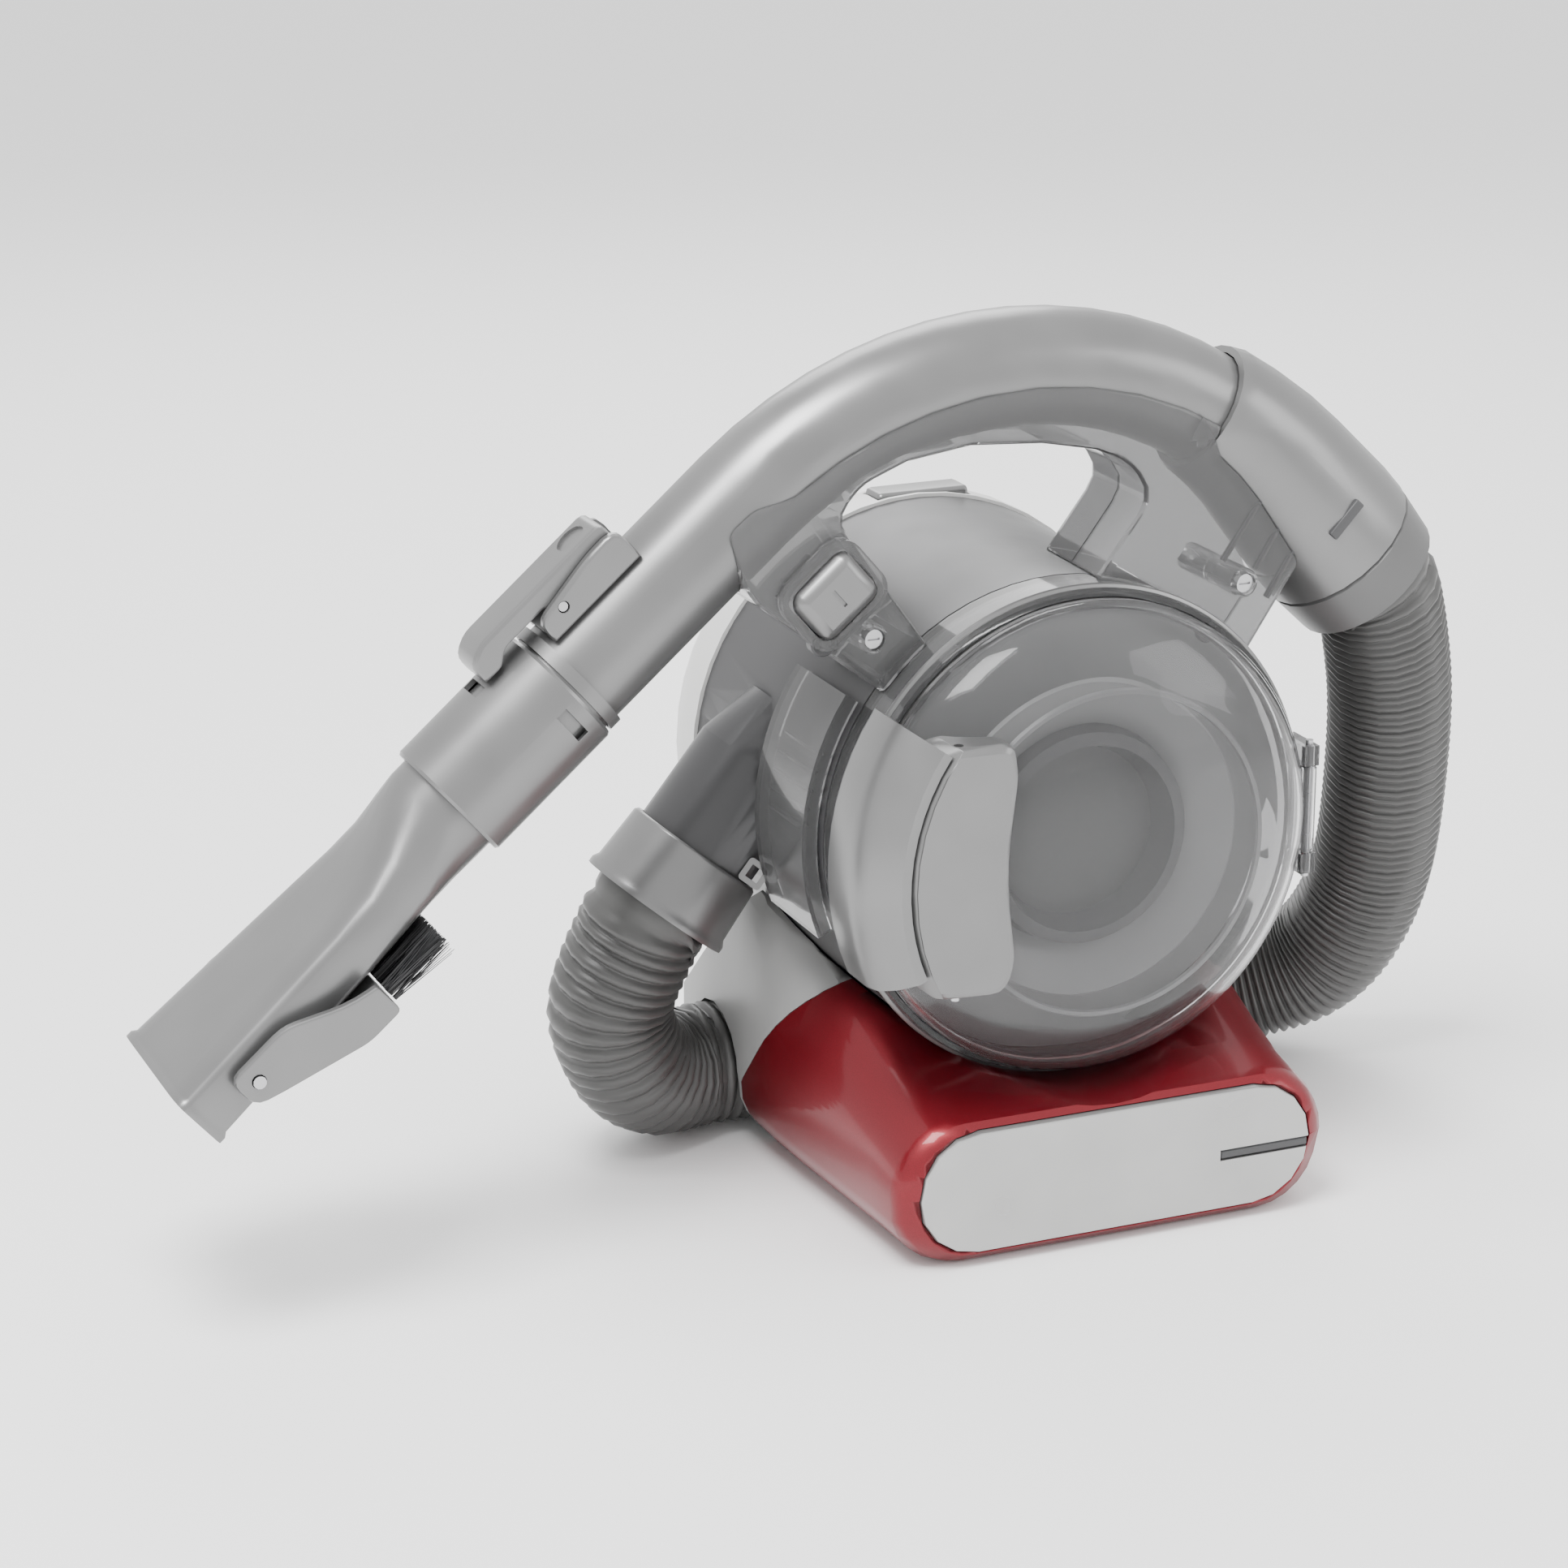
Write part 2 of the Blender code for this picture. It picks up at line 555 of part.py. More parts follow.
def make_door():
    rim = -RIM_Y + GAP
    outer = dome(DOOR_R, rim + 3 * MM, DOME_DEPTH - 3 * MM)[::-1]
    inner = dome(DOOR_R - WALL, rim + 3 * MM, DOME_DEPTH - 3 * MM - WALL)
    profile = outer + [(DOOR_R, rim), (DOOR_R - WALL, rim)] + inner
    door = turned("door", profile, "clear", DRUM_FRAME, 64)
    half = 14 * MM
    arm = box("door_arm", (73.5 * MM, -51.6 * MM, DRUM_Z - half), (HINGE.x, -47.4 * MM, DRUM_Z + half))
    knuckle = turned("door_knuckle", rod_profile(2.6 * MM, half, -half), place=move(*HINGE), steps=20)
    join(door, arm, knuckle)
    bore = turned("cut_hinge", rod_profile(1.5 * MM, 30 * MM, -30 * MM), place=move(*HINGE), steps=16)
    cut(door, bore)
    arms = [box(f"bowl_arm_{i}", (74.6 * MM, -52.1 * MM, DRUM_Z + low * MM),
                (79.8 * MM, -36 * MM, DRUM_Z + high * MM))
            for i, (low, high) in enumerate(((14.5, 21), (-21, -14.5)), 1)]
    bowl = join(bpy.data.objects["dust_bowl"], *arms)
    cut(bowl, bore)
    turned("door_hinge_pin", rod_profile(1.2 * MM, 22.5 * MM, -22.5 * MM), "steel", move(*HINGE), 16)
    turned("door_seal", ring_profile(DOOR_R, 72.4 * MM, 45 * MM, 42.4 * MM), "rubber", DRUM_FRAME, 48)
    turned("bowl_gasket", ring_profile(DRUM_R - WALL - GAP, 72.4 * MM, 25 * MM, 21 * MM), "rubber",
           DRUM_FRAME, 48)
    turned("door_lens", ring_profile(43.5 * MM, 30 * MM, 67.4 * MM, 65.4 * MM), "mid_grey",
           DRUM_FRAME, 48)
    make_door_latch(outer)


def make_door_latch(outer):
    """A grip band on the bowl's flank and a rocking paddle on the door."""
    band("latch_band", [(78.5, -39.5), (83, -40.5), (85.6, -46), (85.6, -60), (84.2, -66), (80, -71.5),
                        (74.5, -75.5), (71.5, -75.5), (75.5, -70.5), (78.5, -64)], 145, 203, 12, "silver")
    corners = [(-38, 167, 4), (-64, 167.5, 7), (-71.5, 150, 8), (-73.5, 128, 8), (-71.5, 106, 8), (-66, 89, 7),
               (-40, 88, 5), (-36.5, 98, 5), (-40, 127, 12), (-36.5, 157, 4)]
    paddle = outline("latch_paddle", [rounded(corners)], 9 * MM, "silver", at_y(-68 * MM), 2.4 * MM)
    grow = [(r + 2.4 * MM, z + 2 * MM) for r, z in outer[1:]]
    clear = turned("cut_door_room", [(0, outer[0][1] + 2 * MM)] + grow + [(grow[-1][0], 0), (0, 0)],
                   place=DRUM_FRAME, steps=48)
    back = turned("cut_band_room", [(110 * MM, 90 * MM), (110 * MM, 38 * MM), (77.4 * MM, 38 * MM),
                                    (77.4 * MM, 64 * MM), (74.6 * MM, 70.2 * MM), (70 * MM, 76 * MM),
                                    (70 * MM, 90 * MM)], place=DRUM_FRAME)
    bore = turned("cut_paddle_pin", rod_profile(1.6 * MM, 60 * MM, -60 * MM), place=move(*PADDLE_AXIS),
                  steps=12)
    cut(paddle, clear, back, bore)
    turned("latch_pin", rod_profile(1.3 * MM, 37 * MM, -37 * MM), "steel", move(*PADDLE_AXIS), 12)


def band(name, profile, start, end, count, kind):
    """Sweeps (radius, y) points round the drum's axis, angles in degrees from +X."""
    sections = []
    for i in range(count):
        t = math.radians(start + (end - start) * i / (count - 1))
        sections.append([(r * MM * math.cos(t), y * MM, DRUM_Z + r * MM * math.sin(t)) for r, y in profile])
    return loft(name, sections, kind)


# ---------------------------------------------------------------- handle
def wand_cutter(name, radius, end):
    """A bar along the wand's line, from beyond the handle's front to an angle on the rear bend."""
    line = [FRONT_BEND_END + FRONT_DIR * 60 * MM] + wand_line(-FRONT_ANGLE, end, 16)
    return as_mesh(tube(name, [tuple(p) for p in line], radius, resolution=6))


def handle_outline():
    """The carrying arch: its top follows the wand and its two legs run into the drum."""
    top = [wand_point(math.radians(a)) for a in (-36, -29, -22, -15, -8, 0, 8, 16, 24, 32)]
    corners = [(-112, 227, 4), (-103, 234, 2)] + [(p.x / MM, p.z / MM - 3, 0) for p in top]
    corners += [(84, 220, 3), (88, 211, 4), (86, 204, 3), (57, 160, 0), (20, 180, 0), (6, 194, 0),
                (30, 226, 8), (21, 237, 5), (10, 241.5, 0), (-8, 245, 0), (-32, 246.5, 0), (-53, 243.5, 0),
                (-68, 237.5, 4), (-76, 228, 6), (-42, 181, 0), (-52, 166, 0), (-104, 206, 6)]
    return rounded(corners)


def make_handle():
    """Two shells split along their length, with a groove that the wand clips down into."""
    ring = handle_outline()
    wand_room = wand_cutter("cut_wand", WAND_R + GAP, math.radians(36))
    room = sleeve_stations(2 * GAP)
    point, direction, radius = room[0]
    sleeve_room = swept("cut_sleeve", [(point - direction * 2 * GAP, direction, radius)] + room)
    drum_room = drum_cutter("cut_drum_room", DRUM_R + GAP, -100 * MM, 120 * MM)
    lift_room = box("cut_lift", (0, -WAND_R - GAP, -140 * MM), (40 * MM, WAND_R + GAP, 40 * MM),
                    place=TOOL_FRAME)
    hollow = outline("cut_hollow", [inset(ring, 1.2 * MM)], HANDLE_HALF - 2.2 * MM, place=at_y(WAND_Y))
    button_hole = box("cut_button", [-a / 2 - GAP for a in BUTTON_SIZE],
                      [a / 2 + GAP for a in BUTTON_SIZE], place=BUTTON_FRAME, bevel=4 * MM)
    screws = [turned(f"cut_screw_{i}", rod_profile(1.8 * MM, 60 * MM, -60 * MM), place=place, steps=12)
              for i, place in enumerate(SCREW_FRAMES, 1)]
    heads = [turned(f"cut_head_{i}", rod_profile(3.4 * MM, 20 * MM, HEAD_FACE - 3 * MM), place=place,
                    steps=16) for i, place in enumerate(SCREW_FRAMES, 1)]
    for name, kind, side in (("handle_front_shell", "clear", -1), ("handle_rear_shell", "smoke", 1)):
        shell = outline(name, [ring], HANDLE_HALF, kind, at_y(WAND_Y), 2.6 * MM)
        half = box(f"cut_{name}", (-200 * MM, min(-side * 50 * MM, side * GAP / 2), 0),
                   (200 * MM, max(-side * 50 * MM, side * GAP / 2), 300 * MM), place=move(0, WAND_Y, 0))
        cut(shell, hollow)
        for i, place in enumerate(SCREW_FRAMES, 1):
            join(shell, turned(f"{name}_boss_{i}", rod_profile(4.8 * MM, HANDLE_HALF - MM, MM - HANDLE_HALF),
                               place=place, steps=16))
        cut(shell, half, wand_room, sleeve_room, drum_room, lift_room, *screws)
        if side < 0:
            cut(shell, button_hole, *heads)
    for i, place in enumerate(SCREW_FRAMES, 1):
        under = HEAD_FACE - 2.4 * MM
        screw = turned(f"handle_screw_{i}", [(0, HEAD_FACE), (3 * MM, HEAD_FACE), (3 * MM, under),
                                             (1.4 * MM, under), (1.4 * MM, -12 * MM), (0, -12 * MM)],
                       "steel", place, 16)
        cut(screw, box(f"cut_drive_{i}", (-2 * MM, -0.4 * MM, HEAD_FACE - 0.8 * MM),
                       (2 * MM, 0.4 * MM, HEAD_FACE + MM), place=place))


def make_buttons():
    wide, high, deep = BUTTON_SIZE
    button = box("power_button", (-wide / 2, -high / 2, -deep / 2), (wide / 2, high / 2, deep / 2),
                 "silver", BUTTON_FRAME, bevel=3.6 * MM)
    flange = box("button_flange", (-wide / 2 - MM, -high / 2 - MM, -deep / 2),
                 (wide / 2 + MM, high / 2 + MM, -deep / 2 + 1.4 * MM), place=BUTTON_FRAME)
    stem = turned("button_stem", rod_profile(2.4 * MM, 0, -deep / 2 - 3 * MM), place=BUTTON_FRAME, steps=16)
    join(button, flange, stem)
    cut(button, box("cut_mark", (-3.2 * MM, -0.6 * MM, deep / 2 - 0.7 * MM), (3.2 * MM, 0.6 * MM, deep),
                    place=BUTTON_FRAME @ turn(math.radians(90), "Z")))
    box("power_switch", (-6 * MM, -4 * MM, -deep / 2 - 18 * MM), (6 * MM, 4 * MM, -deep / 2 - 6.6 * MM),
        "dark", BUTTON_FRAME, bevel=0.5 * MM, segments=1)

    release = box("release_button", (-13.5 * MM, 78 * MM, 194.6 * MM), (19.5 * MM, 90 * MM, 205.2 * MM),
                  "silver", bevel=1.8 * MM)
    foot = box("release_foot", (-16.5 * MM, 77 * MM, 194.6 * MM), (22.5 * MM, 91 * MM, 196.4 * MM))
    join(release, foot)
    cut(bpy.data.objects["rear_cover"],
        box("cut_release", (-14 * MM, 77.5 * MM, 185 * MM), (20 * MM, 90.5 * MM, 215 * MM)))
    outer, inner, wall = 84.4, 79.3, 1.8
    front, rear = -23.4, 14
    band("flank_cover", [(outer, front), (outer, rear), (inner, rear), (inner, rear - wall),
                         (outer - wall, rear - wall), (outer - wall, front + wall), (inner, front + wall),
                         (inner, front)], 146, 201, 14, "clear")


# ---------------------------------------------------------------- hose
def smooth(points, count):
    """A curve through points, given in mm, with a count of steps between each two."""
    ends = [points[0]] + points + [points[-1]]
    line = []
    for a, b, c, d in zip(ends, ends[1:], ends[2:], ends[3:]):
        a, b, c, d = (Vector(p) * MM for p in (a, b, c, d))
        for i in range(count):
            t = i / count
            line.append(tuple(0.5 * (2 * b + (c - a) * t + (2 * a - 5 * b + 4 * c - d) * t ** 2
                                     + (3 * b - a - 3 * c + d) * t ** 3)))
    return line + [tuple(Vector(points[-1]) * MM)]


def make_hose():
    length = INLET_CUFF_LEN
    place = SPIGOT_FRAME @ move(0, 0, SPIGOT_LEN)
    turned("inlet_cuff", [(25.6 * MM, length), (25.6 * MM, length - 2 * MM), (24.4 * MM, length - 4 * MM),
                          (INLET_CUFF_R, MM), (INLET_CUFF_R - MM, 0), (SPIGOT_R + GAP, 0),
                          (SPIGOT_R + GAP, length)], "silver", place, 32)
    mouth = [tuple(place @ Vector((0, 0, z * MM)) / MM) for z in (12, 18, 24, 30)]
    last = (HOSE_TOP - REAR_DIR * GAP) / MM
    before = last + REAR_DIR * 9
    y, z = TUNNEL_Y / MM, TUNNEL_Z / MM
    route = mouth + [(-123, 42.5, 56), (-116, 47.5, 35), (-104, 55, 24), (-91, 61.6, z), (-79, y, z), (0, y, z),
                     (80, y, z), (101, 60, 22), (119, 52, 25), (134.5, 42, 33), (143, 33, 48), (147, 24, 71),
                     (144, 13, 101), (136.4, 0, 143), before, last]
    tube("hose", smooth([tuple(p) for p in route], 4), HOSE_R, "mid_grey", resolution=3)


# ---------------------------------------------------------------- wand
def swept(name, stations, kind=None, count=24):
    """A round bar with a changing radius, through (point, direction, radius) stations in the wand's plane."""
    sections = []
    for point, direction, radius in stations:
        across = Vector((-direction.z, 0, direction.x))
        ring = [point + across * radius * math.cos(t) + Vector((0, radius * math.sin(t), 0))
                for t in [math.tau * i / count for i in range(count)]]
        sections.append([tuple(p) for p in ring])
    return loft(name, sections, kind)


def bend_direction(angle):
    return Vector((math.cos(angle), 0, -math.sin(angle)))


def sleeve_stations(extra=0.0):
    """The sleeve's outside: it starts on the rear bend and flares towards the hose."""
    stations = []
    for share, radius in ((0, 20.8), (0.12, 22.2), (0.4, 23), (0.7, 24), (1, 25)):
        angle = SLEEVE_START + (REAR_ANGLE - SLEEVE_START) * share
        stations.append((wand_point(angle), bend_direction(angle), radius * MM + extra))
    for along, radius in ((12, 26), (24, 26.8), (33.6, 26.8)):
        stations.append((REAR_BEND_END + REAR_DIR * along * MM, REAR_DIR, radius * MM + extra))
    return stations


def make_wand():
    stations = [(TOOL_AT + FRONT_DIR * WAND_REACH, -FRONT_DIR, WAND_R)]
    for i in range(9):
        angle = -FRONT_ANGLE * (1 - i / 8)
        stations.append((wand_point(angle), bend_direction(angle), WAND_R))
    for i in range(1, 10):
        angle = REAR_ANGLE * i / 9
        stations.append((wand_point(angle), bend_direction(angle), WAND_R))
    stations.append((CUFF_AT, REAR_DIR, WAND_R))
    wand = swept("wand_tube", stations, "silver")
    ends = [stations[0][0] + FRONT_DIR * 5 * MM] + [s[0] for s in stations[1:-1]]
    ends.append(CUFF_AT + REAR_DIR * 5 * MM)
    bore = swept("cut_wand_bore", [(p, s[1], WAND_R - 1.8 * MM) for p, s in zip(ends, stations)])
    cut(wand, bore)

    sleeve = sleeve_stations()
    room = [(p, d, WAND_R + GAP) for p, d, _ in sleeve]
    room[0] = (room[0][0] - room[0][1] * 2 * MM, room[0][1], room[0][2])
    room[-1] = (room[-1][0] + REAR_DIR * 2 * MM, REAR_DIR, room[-1][2])
    cut(swept("wand_sleeve", sleeve, "silver"), swept("cut_sleeve_bore", room))
    turned("hose_cuff", [(25.2 * MM, CUFF_LEN), (CUFF_R, MM), (CUFF_R - MM, 0), (HOSE_R + GAP, 0),
                         (HOSE_R + GAP, 8 * MM), (23 * MM, CUFF_LEN)], "mid_grey", CUFF_FRAME, 32)
    turned("wand_ferrule", ring_profile(19.8 * MM, WAND_R + GAP, -1 * MM, -5 * MM), "silver", TOOL_FRAME, 32)
    make_tool_latch()


def tool_side(name, corners, half, kind=None, bevel=0.0):
    """An outline of (along the tool, square to it) corners, extruded both ways across Y."""
    flip = Matrix(((0, 1, 0, 0), (0, 0, 1, 0), (1, 0, 0, 0), (0, 0, 0, 1)))
    return outline(name, [rounded(corners)], half, kind, TOOL_FRAME @ flip, bevel)


def make_tool_latch():
    s, u = (p / MM for p in PADDLE_PIVOT)
    bracket = tool_side("latch_bracket", [(-43, 16, 0), (-43, 28, 5), (-31, 28, 5), (-7, 24, 4), (-7, 16, 0)],
                        11.6 * MM, "silver", 1.2 * MM)
    channel = box("cut_channel", (19.2 * MM, -8.4 * MM, -60 * MM), (40 * MM, 8.4 * MM, 20 * MM),
                  place=TOOL_FRAME)
    wand_room = turned("cut_bracket", rod_profile(WAND_R + GAP, 20 * MM, -70 * MM), place=TOOL_FRAME,
                       steps=40)
    pivot = TOOL_FRAME @ move(PADDLE_PIVOT[1], 0, PADDLE_PIVOT[0]) @ turn(math.pi / 2, "X")
    hole = turned("cut_latch_hole", rod_profile(1.9 * MM, 20 * MM, -20 * MM), place=pivot, steps=12)
    cut(bracket, channel, wand_room, hole)
    paddle = tool_side("tool_latch", [(-41, 24.6, 2), (-41, 31.4, 3), (10, 31.4, 3), (16, 28, 3), (16, 21, 1.5),
                                      (9, 21, 1.5), (5, 24.6, 2), (s + 4, 24.6, 1), (s + 3.6, u - 2.6, 2),
                                      (s - 3.6, u - 2.6, 2), (s - 4, 24.6, 1)], 8 * MM, "silver", 1.4 * MM)
    cut(paddle, hole, turned("cut_thumb", rod_profile(5 * MM, 2 * MM, -0.9 * MM),
                             place=TOOL_FRAME @ move(31.4 * MM, 0, -32 * MM) @ turn(math.pi / 2, "Y"), steps=20))
    turned("tool_latch_pin", rod_profile(1.5 * MM, 11 * MM, -11 * MM), "steel", pivot, 12)


# ---------------------------------------------------------------- tool
def nozzle_section(at, half_w, low, top, power, skin=0.0, count=28):
    """A rounded section across the tool: power 2 is an ellipse, more is squarer."""
    points, middle, half = [], (low + top) / 2, (top - low) / 2
    for i in range(count):
        t = math.tau * i / count
        across, up = (math.copysign(abs(v) ** (2 / power), v) for v in (math.cos(t), math.sin(t)))
        points.append(((middle + (half - skin) * up) * MM, (half_w - skin) * across * MM, at * MM))
    return points


def make_tool():
    length = COLLAR_LEN
    inner = WAND_R + 1.5 * GAP
    turned("tool_collar", [(COLLAR_R - 0.6 * MM, length), (COLLAR_R, length - MM), (COLLAR_R, MM),
                           (COLLAR_R - 0.6 * MM, 0), (inner, 0), (inner, length - 4 * MM),
                           (17.9 * MM, length - 3 * MM), (17.9 * MM, length)], "silver", TOOL_FRAME, 40)
    slot = box("cut_bayonet", (-8 * MM, -26 * MM, 5 * MM), (3 * MM, -10 * MM, 9 * MM), place=TOOL_FRAME)
    catch = box("cut_catch", (10 * MM, -5.4 * MM, 17 * MM), (24 * MM, 5.4 * MM, 21 * MM), place=TOOL_FRAME)
    cut(bpy.data.objects["tool_collar"], slot, catch)

    shape = [(34, 17.5, -17.5, 17.5, 2), (54, 17.5, -17.5, 17.5, 2), (62, 18.6, -16.2, 15.4, 2.3),
             (72, 21.4, -13.8, 11.6, 2.9), (84, 24.6, -11.8, 9, 3.8), (99, 26.4, -11, 8, 5),
             (130, 28.6, -11, 8, 6), (161.5, 30.8, -11, 8, 7), (163, 31.6, -12, 9, 7), (165, 31.6, -12, 9, 7)]
    nozzle = loft("crevice_nozzle", [nozzle_section(*row) for row in shape], "silver", TOOL_FRAME)
    hollow = [(31, *shape[0][1:])] + shape[1:8] + [(169, 30.8, -11, 8, 7)]
    cut(nozzle, loft("cut_nozzle", [nozzle_section(*row, skin=1.8) for row in hollow], place=TOOL_FRAME))
    make_brush()


def make_brush():
    """Bristles on a frame that swings from under the nozzle to beyond its mouth."""
    s, u = (p / MM for p in BRUSH_PIVOT)
    side = [(s + 6, u - 5, 4), (s + 6, u + 6, 4), (s - 16, u + 6, 4), (s - 34, u - 4, 6), (101, -9, 1),
            (101, -20, 2), (114, -20, 3), (s - 2, u - 8, 4)]
    frame = tool_side("brush_frame", side, 35.4 * MM, "silver", 0.8 * MM)
    half = 32.6 * MM
    room = box("cut_frame", (-12.6 * MM, -half, 90 * MM), (20 * MM, half, 170 * MM), place=TOOL_FRAME)
    deep = box("cut_frame_end", (-40 * MM, -half, 119 * MM), (20 * MM, half, 170 * MM), place=TOOL_FRAME)
    pivot = TOOL_FRAME @ move(u * MM, 0, s * MM) @ turn(math.pi / 2, "X")
    hole = turned("cut_pins", rod_profile(2.3 * MM, 40 * MM, -40 * MM), place=pivot, steps=12)
    cut(frame, room, deep, hole)
    box("brush_bristles", (-19.4 * MM, -30 * MM, 76 * MM), (-13.8 * MM, 30 * MM, 100.7 * MM), "black",
        TOOL_FRAME)
    for i, (low, high) in enumerate(((30.2, 36.2), (-36.2, -30.2)), 1):
        turned(f"brush_pin_{i}", rod_profile(2 * MM, high * MM, low * MM), "steel", pivot, 12)


# ---------------------------------------------------------------- run
make_base()
make_battery()
make_drum()
make_bowl()
make_door()
make_handle()
make_buttons()
make_hose()
make_wand()
make_tool()
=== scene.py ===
# %% [markdown]
# A handheld vacuum: a see-through dust drum on a red base, a carrying arch, a silver wand with a crevice
# nozzle, and a hose that loops under the drum. The moving frame comes first. It is loaded as it is, and every
# piece below rides on one of its bodies, so that a piece moves as the real one would.

# %% Load the frame
import json
import math

import bpy
from mathutils import Matrix, Vector


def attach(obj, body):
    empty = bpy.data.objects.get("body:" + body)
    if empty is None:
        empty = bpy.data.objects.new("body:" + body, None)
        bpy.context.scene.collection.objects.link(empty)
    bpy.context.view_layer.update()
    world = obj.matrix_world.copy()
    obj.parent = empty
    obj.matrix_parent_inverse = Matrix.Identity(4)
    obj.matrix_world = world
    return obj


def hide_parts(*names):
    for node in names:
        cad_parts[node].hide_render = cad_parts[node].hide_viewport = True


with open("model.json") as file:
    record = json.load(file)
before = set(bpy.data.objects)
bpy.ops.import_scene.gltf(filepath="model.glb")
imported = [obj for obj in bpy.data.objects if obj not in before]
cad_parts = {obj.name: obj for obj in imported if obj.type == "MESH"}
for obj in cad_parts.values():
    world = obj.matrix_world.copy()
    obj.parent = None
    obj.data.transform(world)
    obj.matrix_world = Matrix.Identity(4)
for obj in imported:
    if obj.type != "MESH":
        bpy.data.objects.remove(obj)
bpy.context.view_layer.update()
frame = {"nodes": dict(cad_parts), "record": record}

MM = 0.001
BODY_OF = {node: body for body, nodes in frame["record"]["behaviour"]["bodies"].items() for node in nodes}
SLOT_OF = {part["node"]: part["material_slot"] for part in frame["record"]["subparts"]}

# %% [markdown]
# The camera stands about 1.3 m away, 18 degrees above the table and 23 degrees round to the left, with a long
# lens. A long lens keeps the circles of the drum round, as a product view does.

# %% Camera
FOCAL_LENGTH, SENSOR_WIDTH = 93.17, 36
CAMERA_PLACE = (-0.5483, -1.1024, 0.5262)
CAMERA_UP, CAMERA_ROUND = 18, -23

lens = bpy.data.cameras.new("camera")
lens.lens = FOCAL_LENGTH
lens.sensor_width = SENSOR_WIDTH
lens.clip_end = 30
camera = bpy.data.objects.new("camera", lens)
camera.location = CAMERA_PLACE
camera.rotation_euler = (math.radians(90 - CAMERA_UP), 0, math.radians(CAMERA_ROUND))
bpy.context.scene.collection.objects.link(camera)
bpy.context.scene.camera = camera
print("camera", tuple(round(v, 3) for v in camera.location))

# %% [markdown]
# The hose is a stretch hose: a thin plastic wall on a wire spiral. It leaves the drum's inlet on the left,
# dips, runs through the tunnel under the drum, and climbs on the right to the wand's cuff. A curve follows
# that route, and the radius at each of its points rises and falls, which makes the ribs. That is lighter than
# modelling rings one by one, and the ribs bend with the hose. On the left the hose is stretched a little, so
# its ribs are further apart there. The curve is then converted to a mesh, because the box that Blender gives
# for a curve like this is far larger than its surface, and the size at the end would read wrong.

# %% Hose route, in metres
HOSE_R = 20.6 * MM
STEP = 0.55 * MM
ROUTE = [(-0.102802, 0.037, 0.097137), (-0.106578, 0.037, 0.092474), (-0.110354, 0.037, 0.087811),
         (-0.11413, 0.037, 0.083148), (-0.123, 0.0425, 0.056), (-0.116, 0.0475, 0.035),
         (-0.104, 0.055, 0.024), (-0.091, 0.0616, 0.0212), (-0.079, 0.063, 0.0212), (0, 0.063, 0.0212),
         (0.08, 0.063, 0.0212), (0.101, 0.06, 0.022), (0.119, 0.052, 0.025), (0.1345, 0.042, 0.033),
         (0.143, 0.033, 0.048), (0.147, 0.024, 0.071), (0.144, 0.013, 0.101), (0.1364, 0, 0.143),
         (0.122845, -0.012, 0.180358), (0.116823, -0.012, 0.187046)]


def through(points, count):
    """A smooth line through points, with a count of steps between each two."""
    ends = [points[0]] + points + [points[-1]]
    line = []
    for a, b, c, d in zip(ends, ends[1:], ends[2:], ends[3:]):
        a, b, c, d = (Vector(p) for p in (a, b, c, d))
        for i in range(count):
            t = i / count
            line.append(0.5 * (2 * b + (c - a) * t + (2 * a - 5 * b + 4 * c - d) * t ** 2
                               + (3 * b - a - 3 * c + d) * t ** 3))
    return line + [Vector(points[-1])]


def even(line, step):
    """The same line with its points an even step apart."""
    spaced, left = [line[0]], step
    for a, b in zip(line, line[1:]):
        length, at = (b - a).length, 0.0
        while length - at >= left:
            at += left
            spaced.append(a.lerp(b, at / length))
            left = step
        left -= length - at
    return spaced


hose_line = even(through(ROUTE, 40), STEP)

# %% Hose with its ribs
LOOSE_RIB, CLOSE_RIB, GROOVE = 4.6 * MM, 3.1 * MM, 0.115
LOOSE_END, CHANGE_OVER = 120 * MM, 60 * MM


def rib_radii(line):
    """A factor for each point: 1 on a rib, less in the groove between ribs."""
    turn, factors = 0.0, []
    for i in range(len(line)):
        share = min(max((i * STEP - LOOSE_END) / CHANGE_OVER, 0), 1)
        turn += STEP / (LOOSE_RIB + (CLOSE_RIB - LOOSE_RIB) * share)
        factors.append(1 - GROOVE * (1 - abs(math.cos(math.pi * turn)) ** 0.7))
    return factors


hose_curve = bpy.data.curves.new("stretch_hose", "CURVE")
hose_curve.dimensions = "3D"
hose_curve.bevel_depth = HOSE_R
hose_curve.bevel_resolution = 7
hose_curve.use_fill_caps = True
spline = hose_curve.splines.new("POLY")
spline.points.add(len(hose_line) - 1)
for point, co, factor in zip(spline.points, hose_line, rib_radii(hose_line)):
    point.co = (*co, 1)
    point.radius = factor
hose = bpy.data.objects.new("stretch_hose", hose_curve)
bpy.context.scene.collection.objects.link(hose)
bpy.ops.object.select_all(action="DESELECT")
hose.select_set(True)
bpy.context.view_layer.objects.active = hose
bpy.ops.object.convert(target="MESH")
hose = bpy.context.object
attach(hose, "main")
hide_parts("hose")
print("hose faces:", len(hose.data.polygons))

# %% [markdown]
# The stage is a pale table that runs on past the picture's edge, under soft studio light. Large area lights
# give long soft highlights on the silver wand and on the clear dome; the pale world fills the shadows.

# %% Floor and light
bpy.ops.object.select_all(action="DESELECT")
bpy.ops.mesh.primitive_plane_add(size=24, location=(0, 0, -0.0002))
floor = bpy.context.object
floor.name = "floor"
pale = bpy.data.materials.new("pale_table")
pale.use_nodes = True
pale.node_tree.nodes["Principled BSDF"].inputs["Base Color"].default_value = (0.93, 0.93, 0.93, 1)
pale.node_tree.nodes["Principled BSDF"].inputs["Roughness"].default_value = 0.9
floor.data.materials.append(pale)

